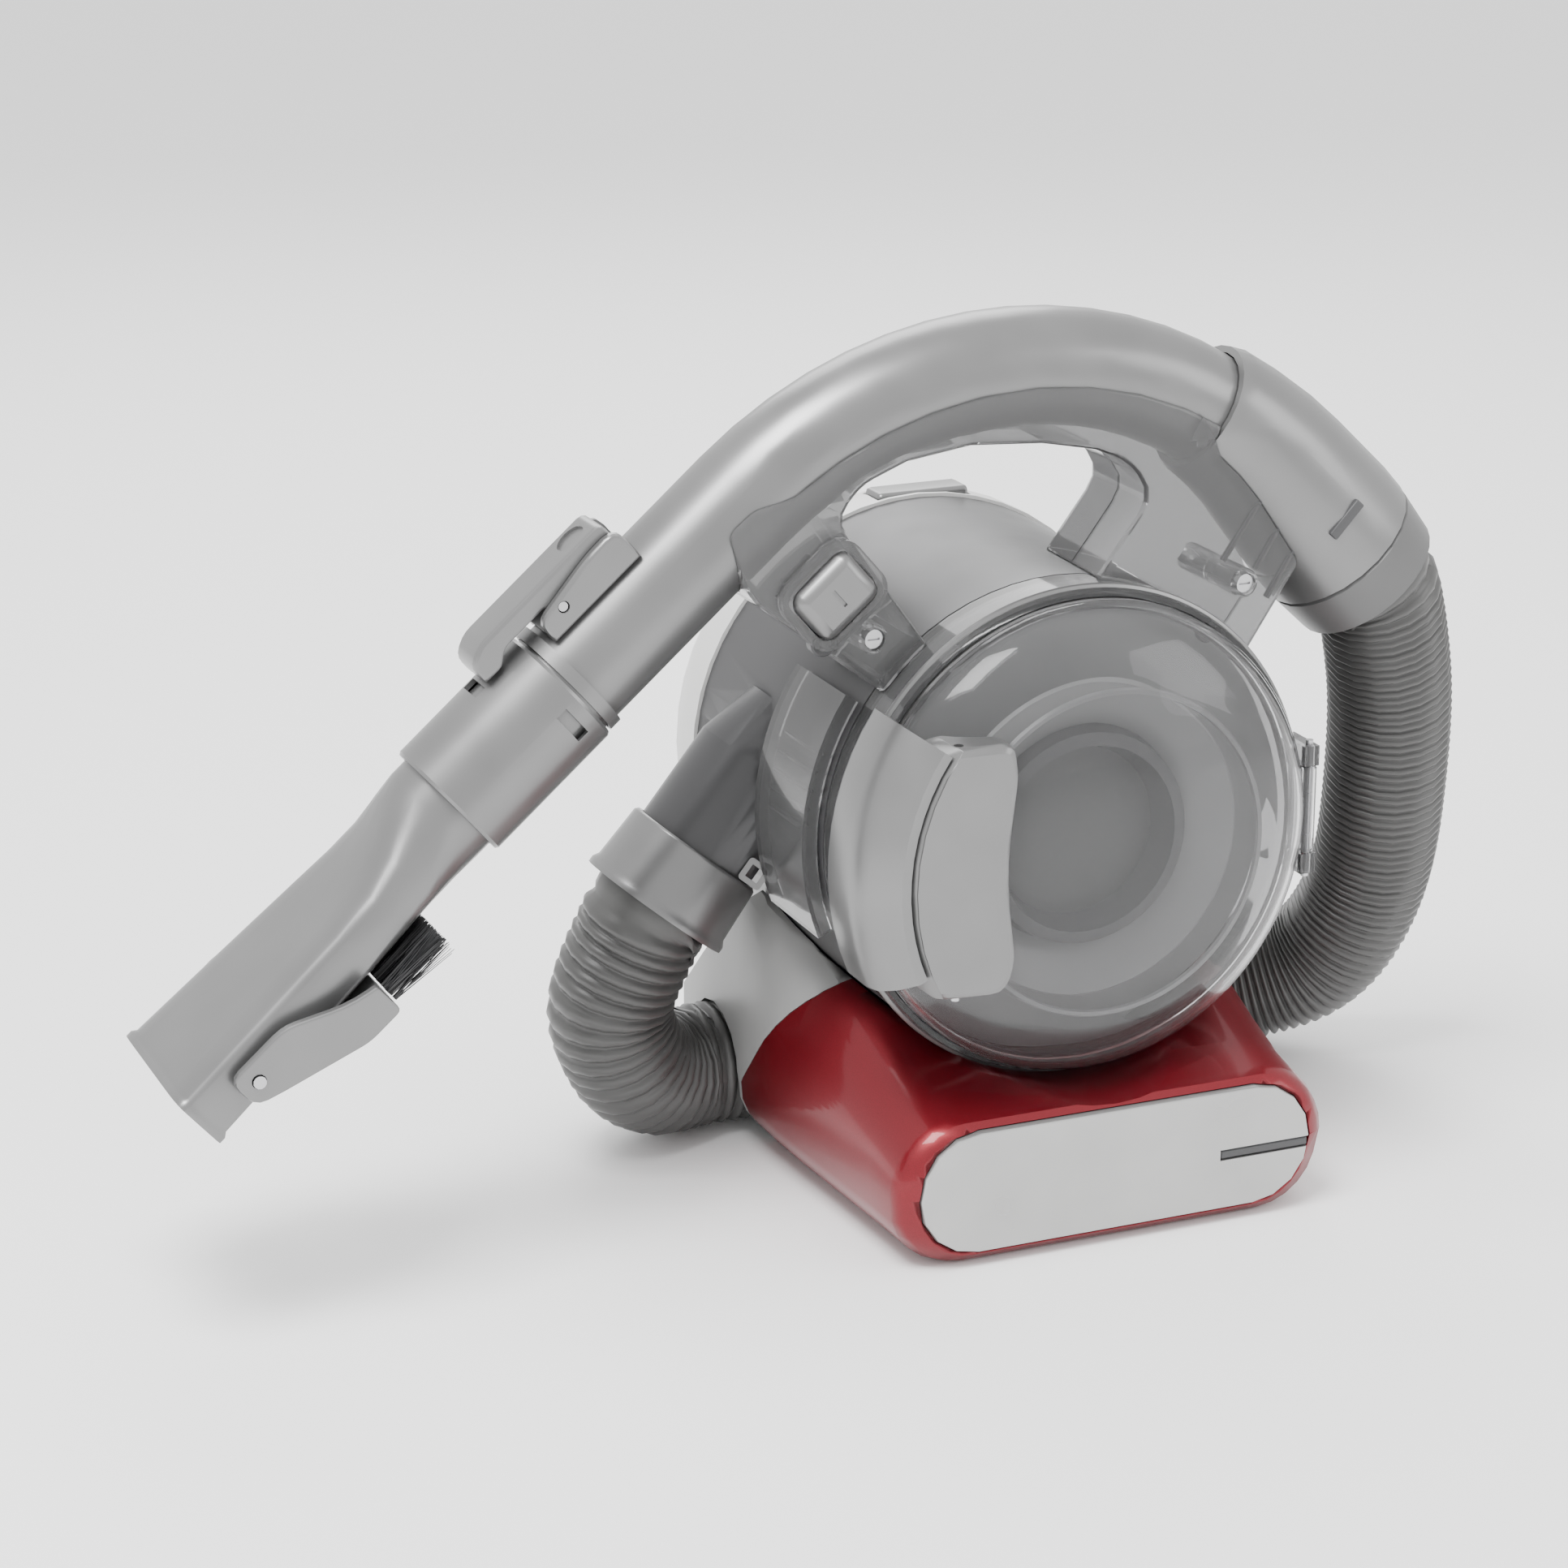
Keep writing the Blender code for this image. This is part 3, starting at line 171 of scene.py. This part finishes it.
world = bpy.data.worlds.new("studio")
bpy.context.scene.world = world
world.use_nodes = True
world.node_tree.nodes["Background"].inputs["Color"].default_value = (1, 1, 1, 1)
world.node_tree.nodes["Background"].inputs["Strength"].default_value = 1.5


def softbox(name, place, aim, size, power):
    """A square area light that looks at a point."""
    light = bpy.data.lights.new(name, "AREA")
    light.size = size
    light.energy = power
    lamp = bpy.data.objects.new(name, light)
    lamp.location = place
    lamp.rotation_euler = (Vector(aim) - Vector(place)).to_track_quat("-Z", "Y").to_euler()
    bpy.context.scene.collection.objects.link(lamp)


softbox("key", (-0.55, -0.35, 1.4), (0, 0, 0.12), 0.6, 30)
softbox("fill", (1.3, -1.0, 0.8), (0, 0, 0.12), 0.8, 7)
softbox("rim", (0.3, 1.2, 1.1), (0, 0, 0.15), 0.9, 12)

# %% [markdown]
# Moulded plastic is never one flat colour. Seen close up, its surface has a fine grain from the mould, and
# its gloss changes a little from place to place. One recipe makes them all: a fine noise drives the bump, and
# a slow noise moves the colour and the roughness by a few per cent. Painted silver adds some metal and a thin
# coat.


# %% Recipe for moulded plastic
def shader(name):
    made = bpy.data.materials.new(name)
    made.use_nodes = True
    return made, made.node_tree, made.node_tree.nodes["Principled BSDF"]


def noise(tree, scale, detail=3.0, stretch=None):
    """Noise on the object's own coordinates, stretched along an axis if asked."""
    place = tree.nodes.new("ShaderNodeTexCoord")
    found = tree.nodes.new("ShaderNodeTexNoise")
    found.inputs["Scale"].default_value = scale
    found.inputs["Detail"].default_value = detail
    source = place.outputs["Object"]
    if stretch:
        mapping = tree.nodes.new("ShaderNodeMapping")
        mapping.inputs["Scale"].default_value = stretch
        tree.links.new(source, mapping.inputs["Vector"])
        source = mapping.outputs["Vector"]
    tree.links.new(source, found.inputs["Vector"])
    return found.outputs["Fac"]


def spread(tree, value, low, high):
    """Brings a noise value, mostly between 0.3 and 0.7, to a low and a high end."""
    found = tree.nodes.new("ShaderNodeMapRange")
    found.inputs["From Min"].default_value = 0.3
    found.inputs["From Max"].default_value = 0.7
    found.inputs["To Min"].default_value = low
    found.inputs["To Max"].default_value = high
    tree.links.new(value, found.inputs["Value"])
    return found.outputs["Result"]


def tint(tree, value, dark, light):
    """A colour between two ends."""
    ramp = tree.nodes.new("ShaderNodeValToRGB")
    ramp.color_ramp.elements[0].position = 0.3
    ramp.color_ramp.elements[1].position = 0.7
    ramp.color_ramp.elements[0].color = (*dark, 1)
    ramp.color_ramp.elements[1].color = (*light, 1)
    tree.links.new(value, ramp.inputs["Fac"])
    return ramp.outputs["Color"]


def grain_bump(tree, value, depth, strength):
    bump = tree.nodes.new("ShaderNodeBump")
    bump.inputs["Distance"].default_value = depth
    bump.inputs["Strength"].default_value = strength
    tree.links.new(value, bump.inputs["Height"])
    return bump.outputs["Normal"]


def moulded(name, colour, rough, metal=0.0, coat=0.0, grain=2600, strength=0.12, vary=0.05, stretch=None):
    made, tree, surface = shader(name)
    surface.inputs["Metallic"].default_value = metal
    surface.inputs["Coat Weight"].default_value = coat
    surface.inputs["Coat Roughness"].default_value = 0.12
    slow = noise(tree, 38, 2.0)
    fine = noise(tree, grain, 2.0, stretch)
    dark = tuple(c * (1 - vary) for c in colour)
    light = tuple(min(c * (1 + vary), 1) for c in colour)
    tree.links.new(tint(tree, slow, dark, light), surface.inputs["Base Color"])
    tree.links.new(spread(tree, slow, rough - 0.03, rough + 0.03), surface.inputs["Roughness"])
    tree.links.new(grain_bump(tree, fine, 0.02 * MM, strength), surface.inputs["Normal"])
    return made


FINISH = {
    "silver": moulded("satin_silver", (0.2, 0.2, 0.2), 0.33, metal=0.7, coat=0.1),
    "hose_grey": moulded("hose_plastic", (0.075, 0.0745, 0.073), 0.38, metal=0.15),
    "mid_grey": moulded("cuff_plastic", (0.12, 0.12, 0.12), 0.36, metal=0.4),
    "light_grey": moulded("saddle_plastic", (0.3, 0.3, 0.297), 0.4),
    "white": moulded("cover_plastic", (0.6, 0.6, 0.59), 0.34, vary=0.02),
    "dark": moulded("dark_plastic", (0.05, 0.05, 0.052), 0.45),
    "rubber": moulded("soft_rubber", (0.03, 0.03, 0.03), 0.75, grain=900, strength=0.3),
    "cell": moulded("cell_sleeve", (0.03, 0.12, 0.36), 0.35),
    "black": moulded("black_nylon", (0.012, 0.012, 0.013), 0.38),
}
print("finishes:", list(FINISH))

# %% [markdown]
# The base is painted in a deep red with metal flakes under a clear coat: it is dark where it faces the table
# and turns pink where the light grazes it. Metal with a tinted base gives that turn, and a fine sparkle of
# lighter flakes sits in the colour. The end panel is silver that was brushed lengthwise, so its noise is
# stretched along X. The steel of pins and screws has its noise stretched along Z in the same way.


# %% Red paint, brushed silver and steel
def flake_red():
    made, tree, surface = shader("flake_red")
    surface.inputs["Metallic"].default_value = 0.55
    surface.inputs["Coat Weight"].default_value = 0.35
    surface.inputs["Coat Roughness"].default_value = 0.08
    flakes = noise(tree, 5200, 1.0)
    red = tint(tree, flakes, (0.13, 0.0012, 0.005), (0.21, 0.003, 0.012))
    tree.links.new(red, surface.inputs["Base Color"])
    tree.links.new(spread(tree, noise(tree, 30), 0.34, 0.4), surface.inputs["Roughness"])
    tree.links.new(grain_bump(tree, flakes, 0.01 * MM, 0.15), surface.inputs["Normal"])
    return made


FINISH["red"] = flake_red()
FINISH["panel_silver"] = moulded("brushed_panel", (0.42, 0.42, 0.415), 0.3, metal=0.7, grain=900,
                                 strength=0.25, stretch=(0.03, 1, 1))
FINISH["steel"] = moulded("turned_steel", (0.5, 0.5, 0.51), 0.28, metal=1.0, grain=1500, strength=0.2,
                          stretch=(1, 1, 0.05))
print("paint and metal ready")

# %% [markdown]
# The dome and the arch are clear plastic with a grey smoke in it. Light goes through them and bends a little,
# and each wall that it crosses makes it darker. The shader's transmission does both, and its base colour is
# the share of light that one surface lets through. A slow noise moves the roughness a little. The drum lets
# far less light through, so most of its look is a grey surface.


# %% See-through plastics
def see_through(name, share, rough, through_it):
    made, tree, surface = shader(name)
    surface.inputs["Transmission Weight"].default_value = through_it
    surface.inputs["IOR"].default_value = 1.3
    tree.links.new(tint(tree, noise(tree, 12, 1.0), tuple(c * 0.97 for c in share), share),
                   surface.inputs["Base Color"])
    tree.links.new(spread(tree, noise(tree, 60), rough * 0.92, rough * 1.08), surface.inputs["Roughness"])
    return made


FINISH["smoke"] = see_through("smoked_plastic", (0.36, 0.36, 0.363), 0.05, 0.9)
FINISH["clear"] = see_through("clear_plastic", (0.5, 0.5, 0.503), 0.02, 0.9)
DRUM_GREY = see_through("drum_plastic", (0.085, 0.085, 0.087), 0.32, 0.25)
DRUM_GREY.node_tree.nodes["Principled BSDF"].inputs["Metallic"].default_value = 0.2
DOME_CLEAR = see_through("dome_plastic", (0.76, 0.76, 0.765), 0.03, 0.97)
INNER_GREY = moulded("inner_grey", (0.24, 0.24, 0.242), 0.34)
DUST_DARK = moulded("dust_screen", (0.05, 0.05, 0.051), 0.5, grain=1500, strength=0.3)


def green_board():
    made, tree, surface = shader("green_board")
    tracks = noise(tree, 600, 0.0, (1, 0.1, 1))
    tree.links.new(tint(tree, tracks, (0.01, 0.12, 0.04), (0.03, 0.26, 0.1)), surface.inputs["Base Color"])
    surface.inputs["Roughness"].default_value = 0.35
    return made


def filter_cloth():
    made, tree, surface = shader("filter_cloth")
    weave = noise(tree, 1800, 1.0)
    tree.links.new(tint(tree, weave, (0.62, 0.6, 0.54), (0.8, 0.78, 0.72)), surface.inputs["Base Color"])
    surface.inputs["Roughness"].default_value = 0.95
    tree.links.new(grain_bump(tree, weave, 0.1 * MM, 0.5), surface.inputs["Normal"])
    return made


FINISH["board"] = green_board()
FINISH["filter"] = filter_cloth()
for node, obj in frame["nodes"].items():
    for slot in obj.material_slots:
        slot.material = FINISH[SLOT_OF[node]]
hose.data.materials.append(FINISH["hose_grey"])
print("every node has a finish")

# %% [markdown]
# A frame node is made of loose triangles. On the real vacuum the same shapes are smooth mouldings. So the
# shell of each big moulding is copied, its points are merged, flat neighbours are dissolved into one face,
# and its shading is smoothed up to an angle, with sharp edges kept. The copy rides where the node rode.


# %% Smooth copies of the mouldings
def only(obj):
    """Makes one object the only selected one, and the active one."""
    bpy.ops.object.select_all(action="DESELECT")
    obj.select_set(True)
    bpy.context.view_layer.objects.active = obj


def smoothed(obj, angle):
    only(obj)
    bpy.ops.object.shade_smooth_by_angle(angle=math.radians(angle))


def applied(obj, kind, **settings):
    """Adds a modifier with these settings and applies it."""
    only(obj)
    step = obj.modifiers.new(kind.lower(), kind)
    for name, value in settings.items():
        setattr(step, name, value)
    bpy.ops.object.modifier_apply(modifier=step.name)


def settle(piece, body, slot, look=None, angle=35):
    """The last steps of each piece: shading, finish and body; the finish is the look, or else the slot's
    finish.
    """
    smoothed(piece, angle)
    piece.data.materials.clear()
    piece.data.materials.append(look or FINISH[slot])
    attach(piece, body)
    return piece


def moulding(node, look=None):
    """A smooth copy of a node, which stands for it."""
    source = frame["nodes"][node]
    piece = bpy.data.objects.new(node + "_moulding", source.data.copy())
    bpy.context.scene.collection.objects.link(piece)
    piece.matrix_world = source.matrix_world.copy()
    only(piece)
    bpy.ops.object.mode_set(mode="EDIT")
    bpy.ops.mesh.select_all(action="SELECT")
    bpy.ops.mesh.remove_doubles(threshold=0.02 * MM)
    bpy.ops.mesh.dissolve_limited(angle_limit=math.radians(1))
    bpy.ops.object.mode_set(mode="OBJECT")
    settle(piece, BODY_OF.get(node, "main"), SLOT_OF[node], look, angle=32)
    applied(piece, "WEIGHTED_NORMAL", keep_sharp=True, weight=80)
    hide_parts(node)
    return piece


MOULDINGS = ["base_cover", "base_housing", "end_panel", "rear_cover", "drum_shell", "dust_bowl", "latch_band",
             "latch_paddle", "handle_front_shell", "handle_rear_shell", "power_button", "release_button",
             "flank_cover", "inlet_cuff", "wand_tube", "wand_sleeve", "hose_cuff", "wand_ferrule",
             "latch_bracket", "tool_latch", "tool_collar", "crevice_nozzle", "brush_frame", "filter_cup"]
LOOKS = {"drum_shell": DRUM_GREY}
for node in MOULDINGS:
    moulding(node, LOOKS.get(node))
print("smooth mouldings:", len(MOULDINGS))

# %% [markdown]
# Round pieces are made as on a lathe. A circle is added round the drum's axis, then it is extruded along the
# axis and resized, ring by ring, until the outline is closed. It is quick, and each ring stays a regular
# polygon round the axis.


# %% Lathe, block and frame helpers
DRUM_Z_MM = 124
DRUM_Z = DRUM_Z_MM * MM
UPRIGHT = Matrix.Rotation(math.pi / 2, 4, "X")
WAND_TILT, HOSE_TILT, INLET_TILT = math.radians(41), math.radians(48), math.radians(51)
TOOL_PLACE = (-0.157435, -0.012, 0.181313)
INLET_PLACE = (-0.077, 0.037, 0.129)
BUTTON_PLACE = (-0.0784, -0.032, 0.206)
TOOL = Matrix.Translation(TOOL_PLACE) @ Matrix.Rotation(-math.pi / 2 - WAND_TILT, 4, "Y")
INLET = Matrix.Translation(INLET_PLACE) @ Matrix.Rotation(-math.pi / 2 - INLET_TILT, 4, "Y")
BUTTON = Matrix.Translation(BUTTON_PLACE) @ UPRIGHT @ Matrix.Rotation(WAND_TILT, 4, "Z")


def edit(piece):
    """Opens a piece in edit mode with all of it selected."""
    only(piece)
    bpy.ops.object.mode_set(mode="EDIT")
    bpy.ops.mesh.select_all(action="SELECT")


def closed_up(piece):
    """Merges doubles and turns all faces out."""
    edit(piece)
    bpy.ops.mesh.remove_doubles(threshold=0.00001)
    bpy.ops.mesh.normals_make_consistent(inside=False)
    bpy.ops.object.mode_set(mode="OBJECT")
    return piece


def lathe(name, rings, steps=96, centre=(0, DRUM_Z_MM)):
    """Rings of (radius, y) in mm round an axis along Y; centre is its (x, z) in mm."""
    x, z = centre[0] * MM, centre[1] * MM
    smallest = 0.004
    rings = [(max(r, smallest) * MM, y * MM) for r, y in rings]
    bpy.ops.object.select_all(action="DESELECT")
    bpy.ops.mesh.primitive_circle_add(vertices=steps, radius=rings[0][0], location=(x, rings[0][1], z),
                                      rotation=(math.pi / 2, 0, 0))
    piece = bpy.context.object
    piece.name = piece.data.name = name
    bpy.ops.object.transform_apply(location=True, rotation=True, scale=True)
    edit(piece)
    for (r0, y0), (r1, y1) in zip(rings, rings[1:]):
        bpy.ops.mesh.extrude_region_move(TRANSFORM_OT_translate={"value": (0, y1 - y0, 0)})
        bpy.ops.transform.resize(value=(r1 / r0, 1, r1 / r0), center_override=(x, y1, z))
    bpy.ops.object.mode_set(mode="OBJECT")
    return closed_up(piece)


def block(name, middle, size, place=Matrix(), bevel=0.5, segments=3):
    """A block in mm with rounded edges, put in a place."""
    bpy.ops.object.select_all(action="DESELECT")
    bpy.ops.mesh.primitive_cube_add(size=1, location=[v * MM for v in middle], scale=[v * MM for v in size])
    piece = bpy.context.object
    piece.name = piece.data.name = name
    bpy.ops.object.transform_apply(location=True, rotation=True, scale=True)
    if bevel:
        edit(piece)
        bpy.ops.mesh.bevel(offset=bevel * MM, segments=segments, affect="EDGES", clamp_overlap=True)
        bpy.ops.object.mode_set(mode="OBJECT")
    piece.data.transform(place)
    return piece


def joined(first, *others):
    bpy.ops.object.select_all(action="DESELECT")
    for other in others:
        other.select_set(True)
    first.select_set(True)
    bpy.context.view_layer.objects.active = first
    bpy.ops.object.join()
    return first


print("helpers ready; the drum's axis is at z =", DRUM_Z)

# %% [markdown]
# The door is a clear dome on a flange, with a raised window edge about two thirds of the way out. Its look
# depends on an even wall, so its outline goes round both faces: out along the outside, back along the inside.
# The hinge arm and the knuckle are joined to it on the right.

# %% Clear door
DOME_R, DOME_FOOT, DOME_DEEP, DOME_WALL = 75.4, -48.4, 27.0, 2.0
DOME_STEPS, EDGE_AT = 22, 0.7
HINGE = (77.6, -49.5, DRUM_Z_MM)


def dome_ring(radius_factor, shrink=0.0):
    """(radius, y) on the dome, from 0 at the middle to 1 at the flange."""
    rise = math.sqrt(max(1 - radius_factor ** 2, 0))
    return ((DOME_R - shrink) * radius_factor, DOME_FOOT - (DOME_DEEP - shrink) * rise)


FACTORS = [math.sin(math.pi / 2 * i / DOME_STEPS) for i in range(DOME_STEPS + 1)]
outside = [dome_ring(f) for f in FACTORS]
edge = min(range(DOME_STEPS + 1), key=lambda i: abs(FACTORS[i] - EDGE_AT))
for i, lift in ((edge - 1, 0.1), (edge, 0.9), (edge + 1, 0.5)):
    outside[i] = (outside[i][0], outside[i][1] - lift)
flange = [(75.4, -45.8), (75.1, -45.4), (73.2, -45.4)]
inside = [dome_ring(f, DOME_WALL) for f in reversed(FACTORS)]
door_dome = lathe("door_dome", outside + flange + inside, 128)
arm = block("hinge_arm", (HINGE[0] - 2, HINGE[1], HINGE[2]), (4.4, 4.4, 28), bevel=0.6)
knuckle_rings = [(0, 14), (2.0, 14), (2.6, 13.4), (2.6, -13.4), (2.0, -14), (0, -14)]
knuckle = lathe("hinge_knuckle", knuckle_rings, 32, (0, 0))
knuckle.data.transform(Matrix.Translation([v * MM for v in HINGE]) @ UPRIGHT)
joined(door_dome, arm, knuckle)
settle(door_dome, "door", "clear", DOME_CLEAR)
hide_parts("door")
window_edge = lathe("window_edge", [(51.8, -65.6), (52.4, -64.6), (51.4, -63.8), (50.4, -64.4), (50.6, -65.6),
                                    (51.8, -65.6)], 96)
settle(window_edge, "door", "mid_grey", INNER_GREY)
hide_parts("door_lens")
print("door faces:", len(door_dome.data.polygons))

# %% [markdown]
# Behind the door, a light grey funnel guides the dust round the filter. Its middle is closed by the dark
# round screen of the filter. The screen is the dark disc that is seen through the dome, and the funnel is the
# light ring round it. Both lift out with the bowl.

# %% Funnel and filter screen
funnel = lathe("dust_funnel", [(51, -50), (50, -51), (47, -49.6), (41, -46), (35.5, -42.6), (32.4, -41),
                               (31.4, -39.6), (31.4, -34), (32.8, -34), (32.8, -38.8), (36.4, -40.8),
                               (42, -44), (48, -47.6), (51, -50)], 96)
settle(funnel, "bowl", "mid_grey", INNER_GREY)
screen = lathe("filter_screen", [(0, -40.6), (10, -40.5), (20, -40.2), (28, -39.6), (30.4, -38.8),
                                 (30.8, -37.6), (30.8, -35), (0, -35)], 72)
settle(screen, "bowl", "dark", DUST_DARK)
back = lathe("bowl_back", [(75.2, -30), (74, -30.6), (60, -29.4), (46, -30.4), (36, -31.6), (33, -31.6),
                           (33, -28.6), (75.2, -28.6), (75.2, -30)], 96)
settle(back, "bowl", "mid_grey", INNER_GREY)
bead = lathe("rim_bead", [(78.0, -40.2), (78.9, -40.6), (79.2, -41.4), (78.9, -42.2), (78.0, -42.6),
                          (77.9, -41.4), (78.0, -40.2)], 128)
settle(bead, "bowl", "silver")
print("bowl pieces:", funnel.name, screen.name, back.name, bead.name)

# %% [markdown]
# The handle's parts: a clear frame stands round the power button, three stiffening ribs and two ring bosses
# show through the rear leg and the front leg, and a small raised arrow shows where the wand clips in.

# %% Handle details
def round_corners(piece, reach):
    """Bevels the four edges that stand along the piece's own Z."""
    edit(piece)
    bpy.ops.mesh.select_mode(type="EDGE")
    bpy.ops.mesh.select_all(action="DESELECT")
    bpy.ops.object.mode_set(mode="OBJECT")
    for side in piece.data.edges:
        a, b = (piece.data.vertices[i].co for i in side.vertices)
        side.select = (a - b).normalized().z ** 2 > 0.9
    bpy.ops.object.mode_set(mode="EDIT")
    bpy.ops.mesh.bevel(offset=reach * MM, segments=6, affect="EDGES")
    bpy.ops.object.mode_set(mode="OBJECT")


def hollow_frame(name, outer, inner, low, high, corner, place):
    """A rounded plate with a rounded hole, cut by a smaller block."""
    middle, deep = (low + high) / 2, high - low
    plate = block(name, (0, 0, middle), (*outer, deep), bevel=0)
    hole = block("hole", (0, 0, middle), (*inner, deep + 4), bevel=0)
    for piece, reach in ((plate, corner), (hole, corner - 2)):
        round_corners(piece, reach)
    applied(plate, "BOOLEAN", operation="DIFFERENCE", object=hole)
    bpy.data.objects.remove(hole)
    plate.data.transform(place)
    return plate


collar = hollow_frame("button_frame", (30.4, 26), (24.6, 20.2), -2.2, 2.6, 7, BUTTON)
settle(collar, "main", "clear")

RIBS = [((55.0, 202.0), (72.1, 226.5)), ((66.6, 198.1), (79.3, 218.8)), ((71.0, 188.5), (84.2, 209.9))]
ribs = []
for (x0, z0), (x1, z1) in RIBS:
    length = math.dist((x0, z0), (x1, z1))
    slope = math.atan2(z1 - z0, x1 - x0)
    place = Matrix.Translation(((x0 + x1) / 2 * MM, -0.0298, (z0 + z1) / 2 * MM)) @ UPRIGHT \
        @ Matrix.Rotation(slope, 4, "Z")
    ribs.append(block("leg_rib", (0, 0, 0), (length, 1.1, 3.2), place, 0.3, 2))
leg_ribs = joined(*ribs)
leg_ribs.name = leg_ribs.data.name = "leg_ribs"
settle(leg_ribs, "main", "dark")

BOSS_RINGS = [(2.0, -31.0), (3.6, -31.4), (4.2, -30.6), (4.2, -27), (2.0, -27), (2.0, -31.0)]
BOSS_CENTRES = [(50.5, 181), (-80.5, 190.5)]
bosses = [lathe(f"ring_boss_{i}", BOSS_RINGS, 32, centre) for i, centre in enumerate(BOSS_CENTRES, 1)]
for boss in bosses:
    settle(boss, "main", "dark")


def arrow(name, place, size, body, slot):
    """A three-sided plate with a short tail, pointing along its own +Y."""
    bpy.ops.object.select_all(action="DESELECT")
    bpy.ops.mesh.primitive_cylinder_add(vertices=3, radius=size * MM, depth=0.9 * MM)
    head = bpy.context.object
    head.name = head.data.name = name
    edit(head)
    bpy.ops.mesh.bevel(offset=0.3 * MM, segments=2, affect="EDGES")
    bpy.ops.object.mode_set(mode="OBJECT")
    head.data.transform(place)
    tail = block("tail", (0, -0.55 * size, 0), (0.8 * size, 0.7 * size, 0.8), place, 0.25, 2)
    joined(head, tail)
    return settle(head, body, slot)


arrow("clip_arrow", Matrix.Translation((0.0461, -0.0312, 0.2440)) @ UPRIGHT, 5, "main", "clear")
CUFF_SIDE = Matrix.Translation((0.1068, -0.0371, 0.1983)) @ UPRIGHT \
    @ Matrix.Rotation(math.pi / 2 - HOSE_TILT, 4, "Z")
arrow("cuff_arrow", CUFF_SIDE, 4.4, "wand", "mid_grey")
print("handle details:", collar.name, leg_ribs.name, [b.name for b in bosses])

# %% [markdown]
# Small parts on the flank, the inlet, the wand's sleeve and the back: a comb of short ribs inside the clear
# flank cover, the square lug that locks the hose cuff, the dark slot where the sleeve's catch sits, and a
# disc of dark foam behind the exhaust slots. They are blocks and a lathed disc with softened edges.

# %% Flank comb, inlet lug and sleeve slot
comb = []
FIRST_RIB, RIB_STEP = 160, 4.2
for i in range(5):
    angle = math.radians(FIRST_RIB + i * RIB_STEP)
    spin = Matrix.Translation((0, 0, DRUM_Z)) @ Matrix.Rotation(-angle, 4, "Y")
    comb.append(block("comb_rib", (81.2, -6, 0), (2.6, 24, 0.8), spin, 0.2, 2))
comb_ribs = joined(*comb)
comb_ribs.name = comb_ribs.data.name = "flank_comb"
settle(comb_ribs, "main", "clear")

LUG_TURN = Matrix.Rotation(math.radians(28), 4, "Z")
LUG = INLET @ Matrix.Translation((-0.0115, -0.0206, 0.0245)) @ LUG_TURN @ UPRIGHT
lug = hollow_frame("inlet_lug", (8, 8), (4.4, 4.4), 0, 1.6, 1.2, LUG)
settle(lug, "main", "silver")
SLOT_START, SLOT_STOP = (89.6, 208.0), (99.1, 218.3)
SLOT_LINE = math.atan2(SLOT_STOP[1] - SLOT_START[1], SLOT_STOP[0] - SLOT_START[0])
slot_place = Matrix.Translation((0.0944, -0.0376, 0.2131)) @ UPRIGHT @ Matrix.Rotation(SLOT_LINE, 4, "Z")
slot_piece = block("sleeve_slot", (0, 0, 0), (14, 3.4, 2.2), slot_place, 0.5, 3)
settle(slot_piece, "wand", "dark")
foam = lathe("exhaust_foam", [(0, 104.6), (56, 104.6), (58, 103.6), (58, 101.6), (56, 100.6), (0, 100.6)], 64)
settle(foam, "main", "dark", DUST_DARK)
print("small parts done")

# %% [markdown]
# The brush is rows of tufts, each a bunch of stiff nylon bristles that lean a little apart. One tuft is
# modelled from thin cones, then copied along the brush, each copy with its own small turn. A real bristle is
# thin and its tip is what catches the light, so four sides are enough.

# %% Bristles
import random

dice = random.Random(7)
BRISTLES, BRISTLE_LENGTH = 14, 23
ROWS, COLUMNS, BRUSH_WIDTH = 3, 24, 57.2
ROW_GAP, FIRST_ROW, ROOT = 1.6, -18.4, 100.4


def tuft(name, count, length):
    """A bunch of bristles that starts at the origin and leans along its own -Z."""
    bpy.ops.object.select_all(action="DESELECT")
    bristles = []
    for _ in range(count):
        lean_x, lean_y = dice.uniform(-0.1, 0.1), dice.uniform(-0.1, 0.1)
        tall = length * dice.uniform(0.86, 1.0)
        middle = (lean_x * tall / 2 * MM + dice.uniform(-0.7, 0.7) * MM,
                  lean_y * tall / 2 * MM + dice.uniform(-0.7, 0.7) * MM,
                  -tall / 2 * MM)
        bpy.ops.mesh.primitive_cone_add(vertices=4, radius1=0.1 * MM, radius2=0.24 * MM, depth=tall * MM,
                                        location=middle, rotation=(lean_y, -lean_x, 0))
        bpy.ops.object.transform_apply(location=True, rotation=True, scale=True)
        bristles.append(bpy.context.object)
    made = joined(*bristles)
    made.name = made.data.name = name
    return made


first_tuft = tuft("brush_tufts", BRISTLES, BRISTLE_LENGTH)
tufts = []
for row in range(ROWS):
    for column in range(COLUMNS):
        copy = bpy.data.objects.new("tuft_copy", first_tuft.data.copy())
        bpy.context.scene.collection.objects.link(copy)
        across = -BRUSH_WIDTH / 2 + BRUSH_WIDTH * column / (COLUMNS - 1) + dice.uniform(-0.4, 0.4)
        foot = ((FIRST_ROW + row * ROW_GAP) * MM, across * MM, ROOT * MM)
        copy.data.transform(TOOL @ Matrix.Translation(foot)
                            @ Matrix.Rotation(dice.uniform(-0.05, 0.05), 4, "X")
                            @ Matrix.Rotation(dice.uniform(0, math.tau), 4, "Z"))
        tufts.append(copy)
first_tuft.data.transform(TOOL @ Matrix.Translation(((FIRST_ROW + ROW_GAP) * MM, 0, ROOT * MM)))
brush_tufts = joined(first_tuft, *tufts)
settle(brush_tufts, "brush", "black", angle=60)
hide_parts("brush_bristles")
print("bristles:", BRISTLES * (len(tufts) + 1))
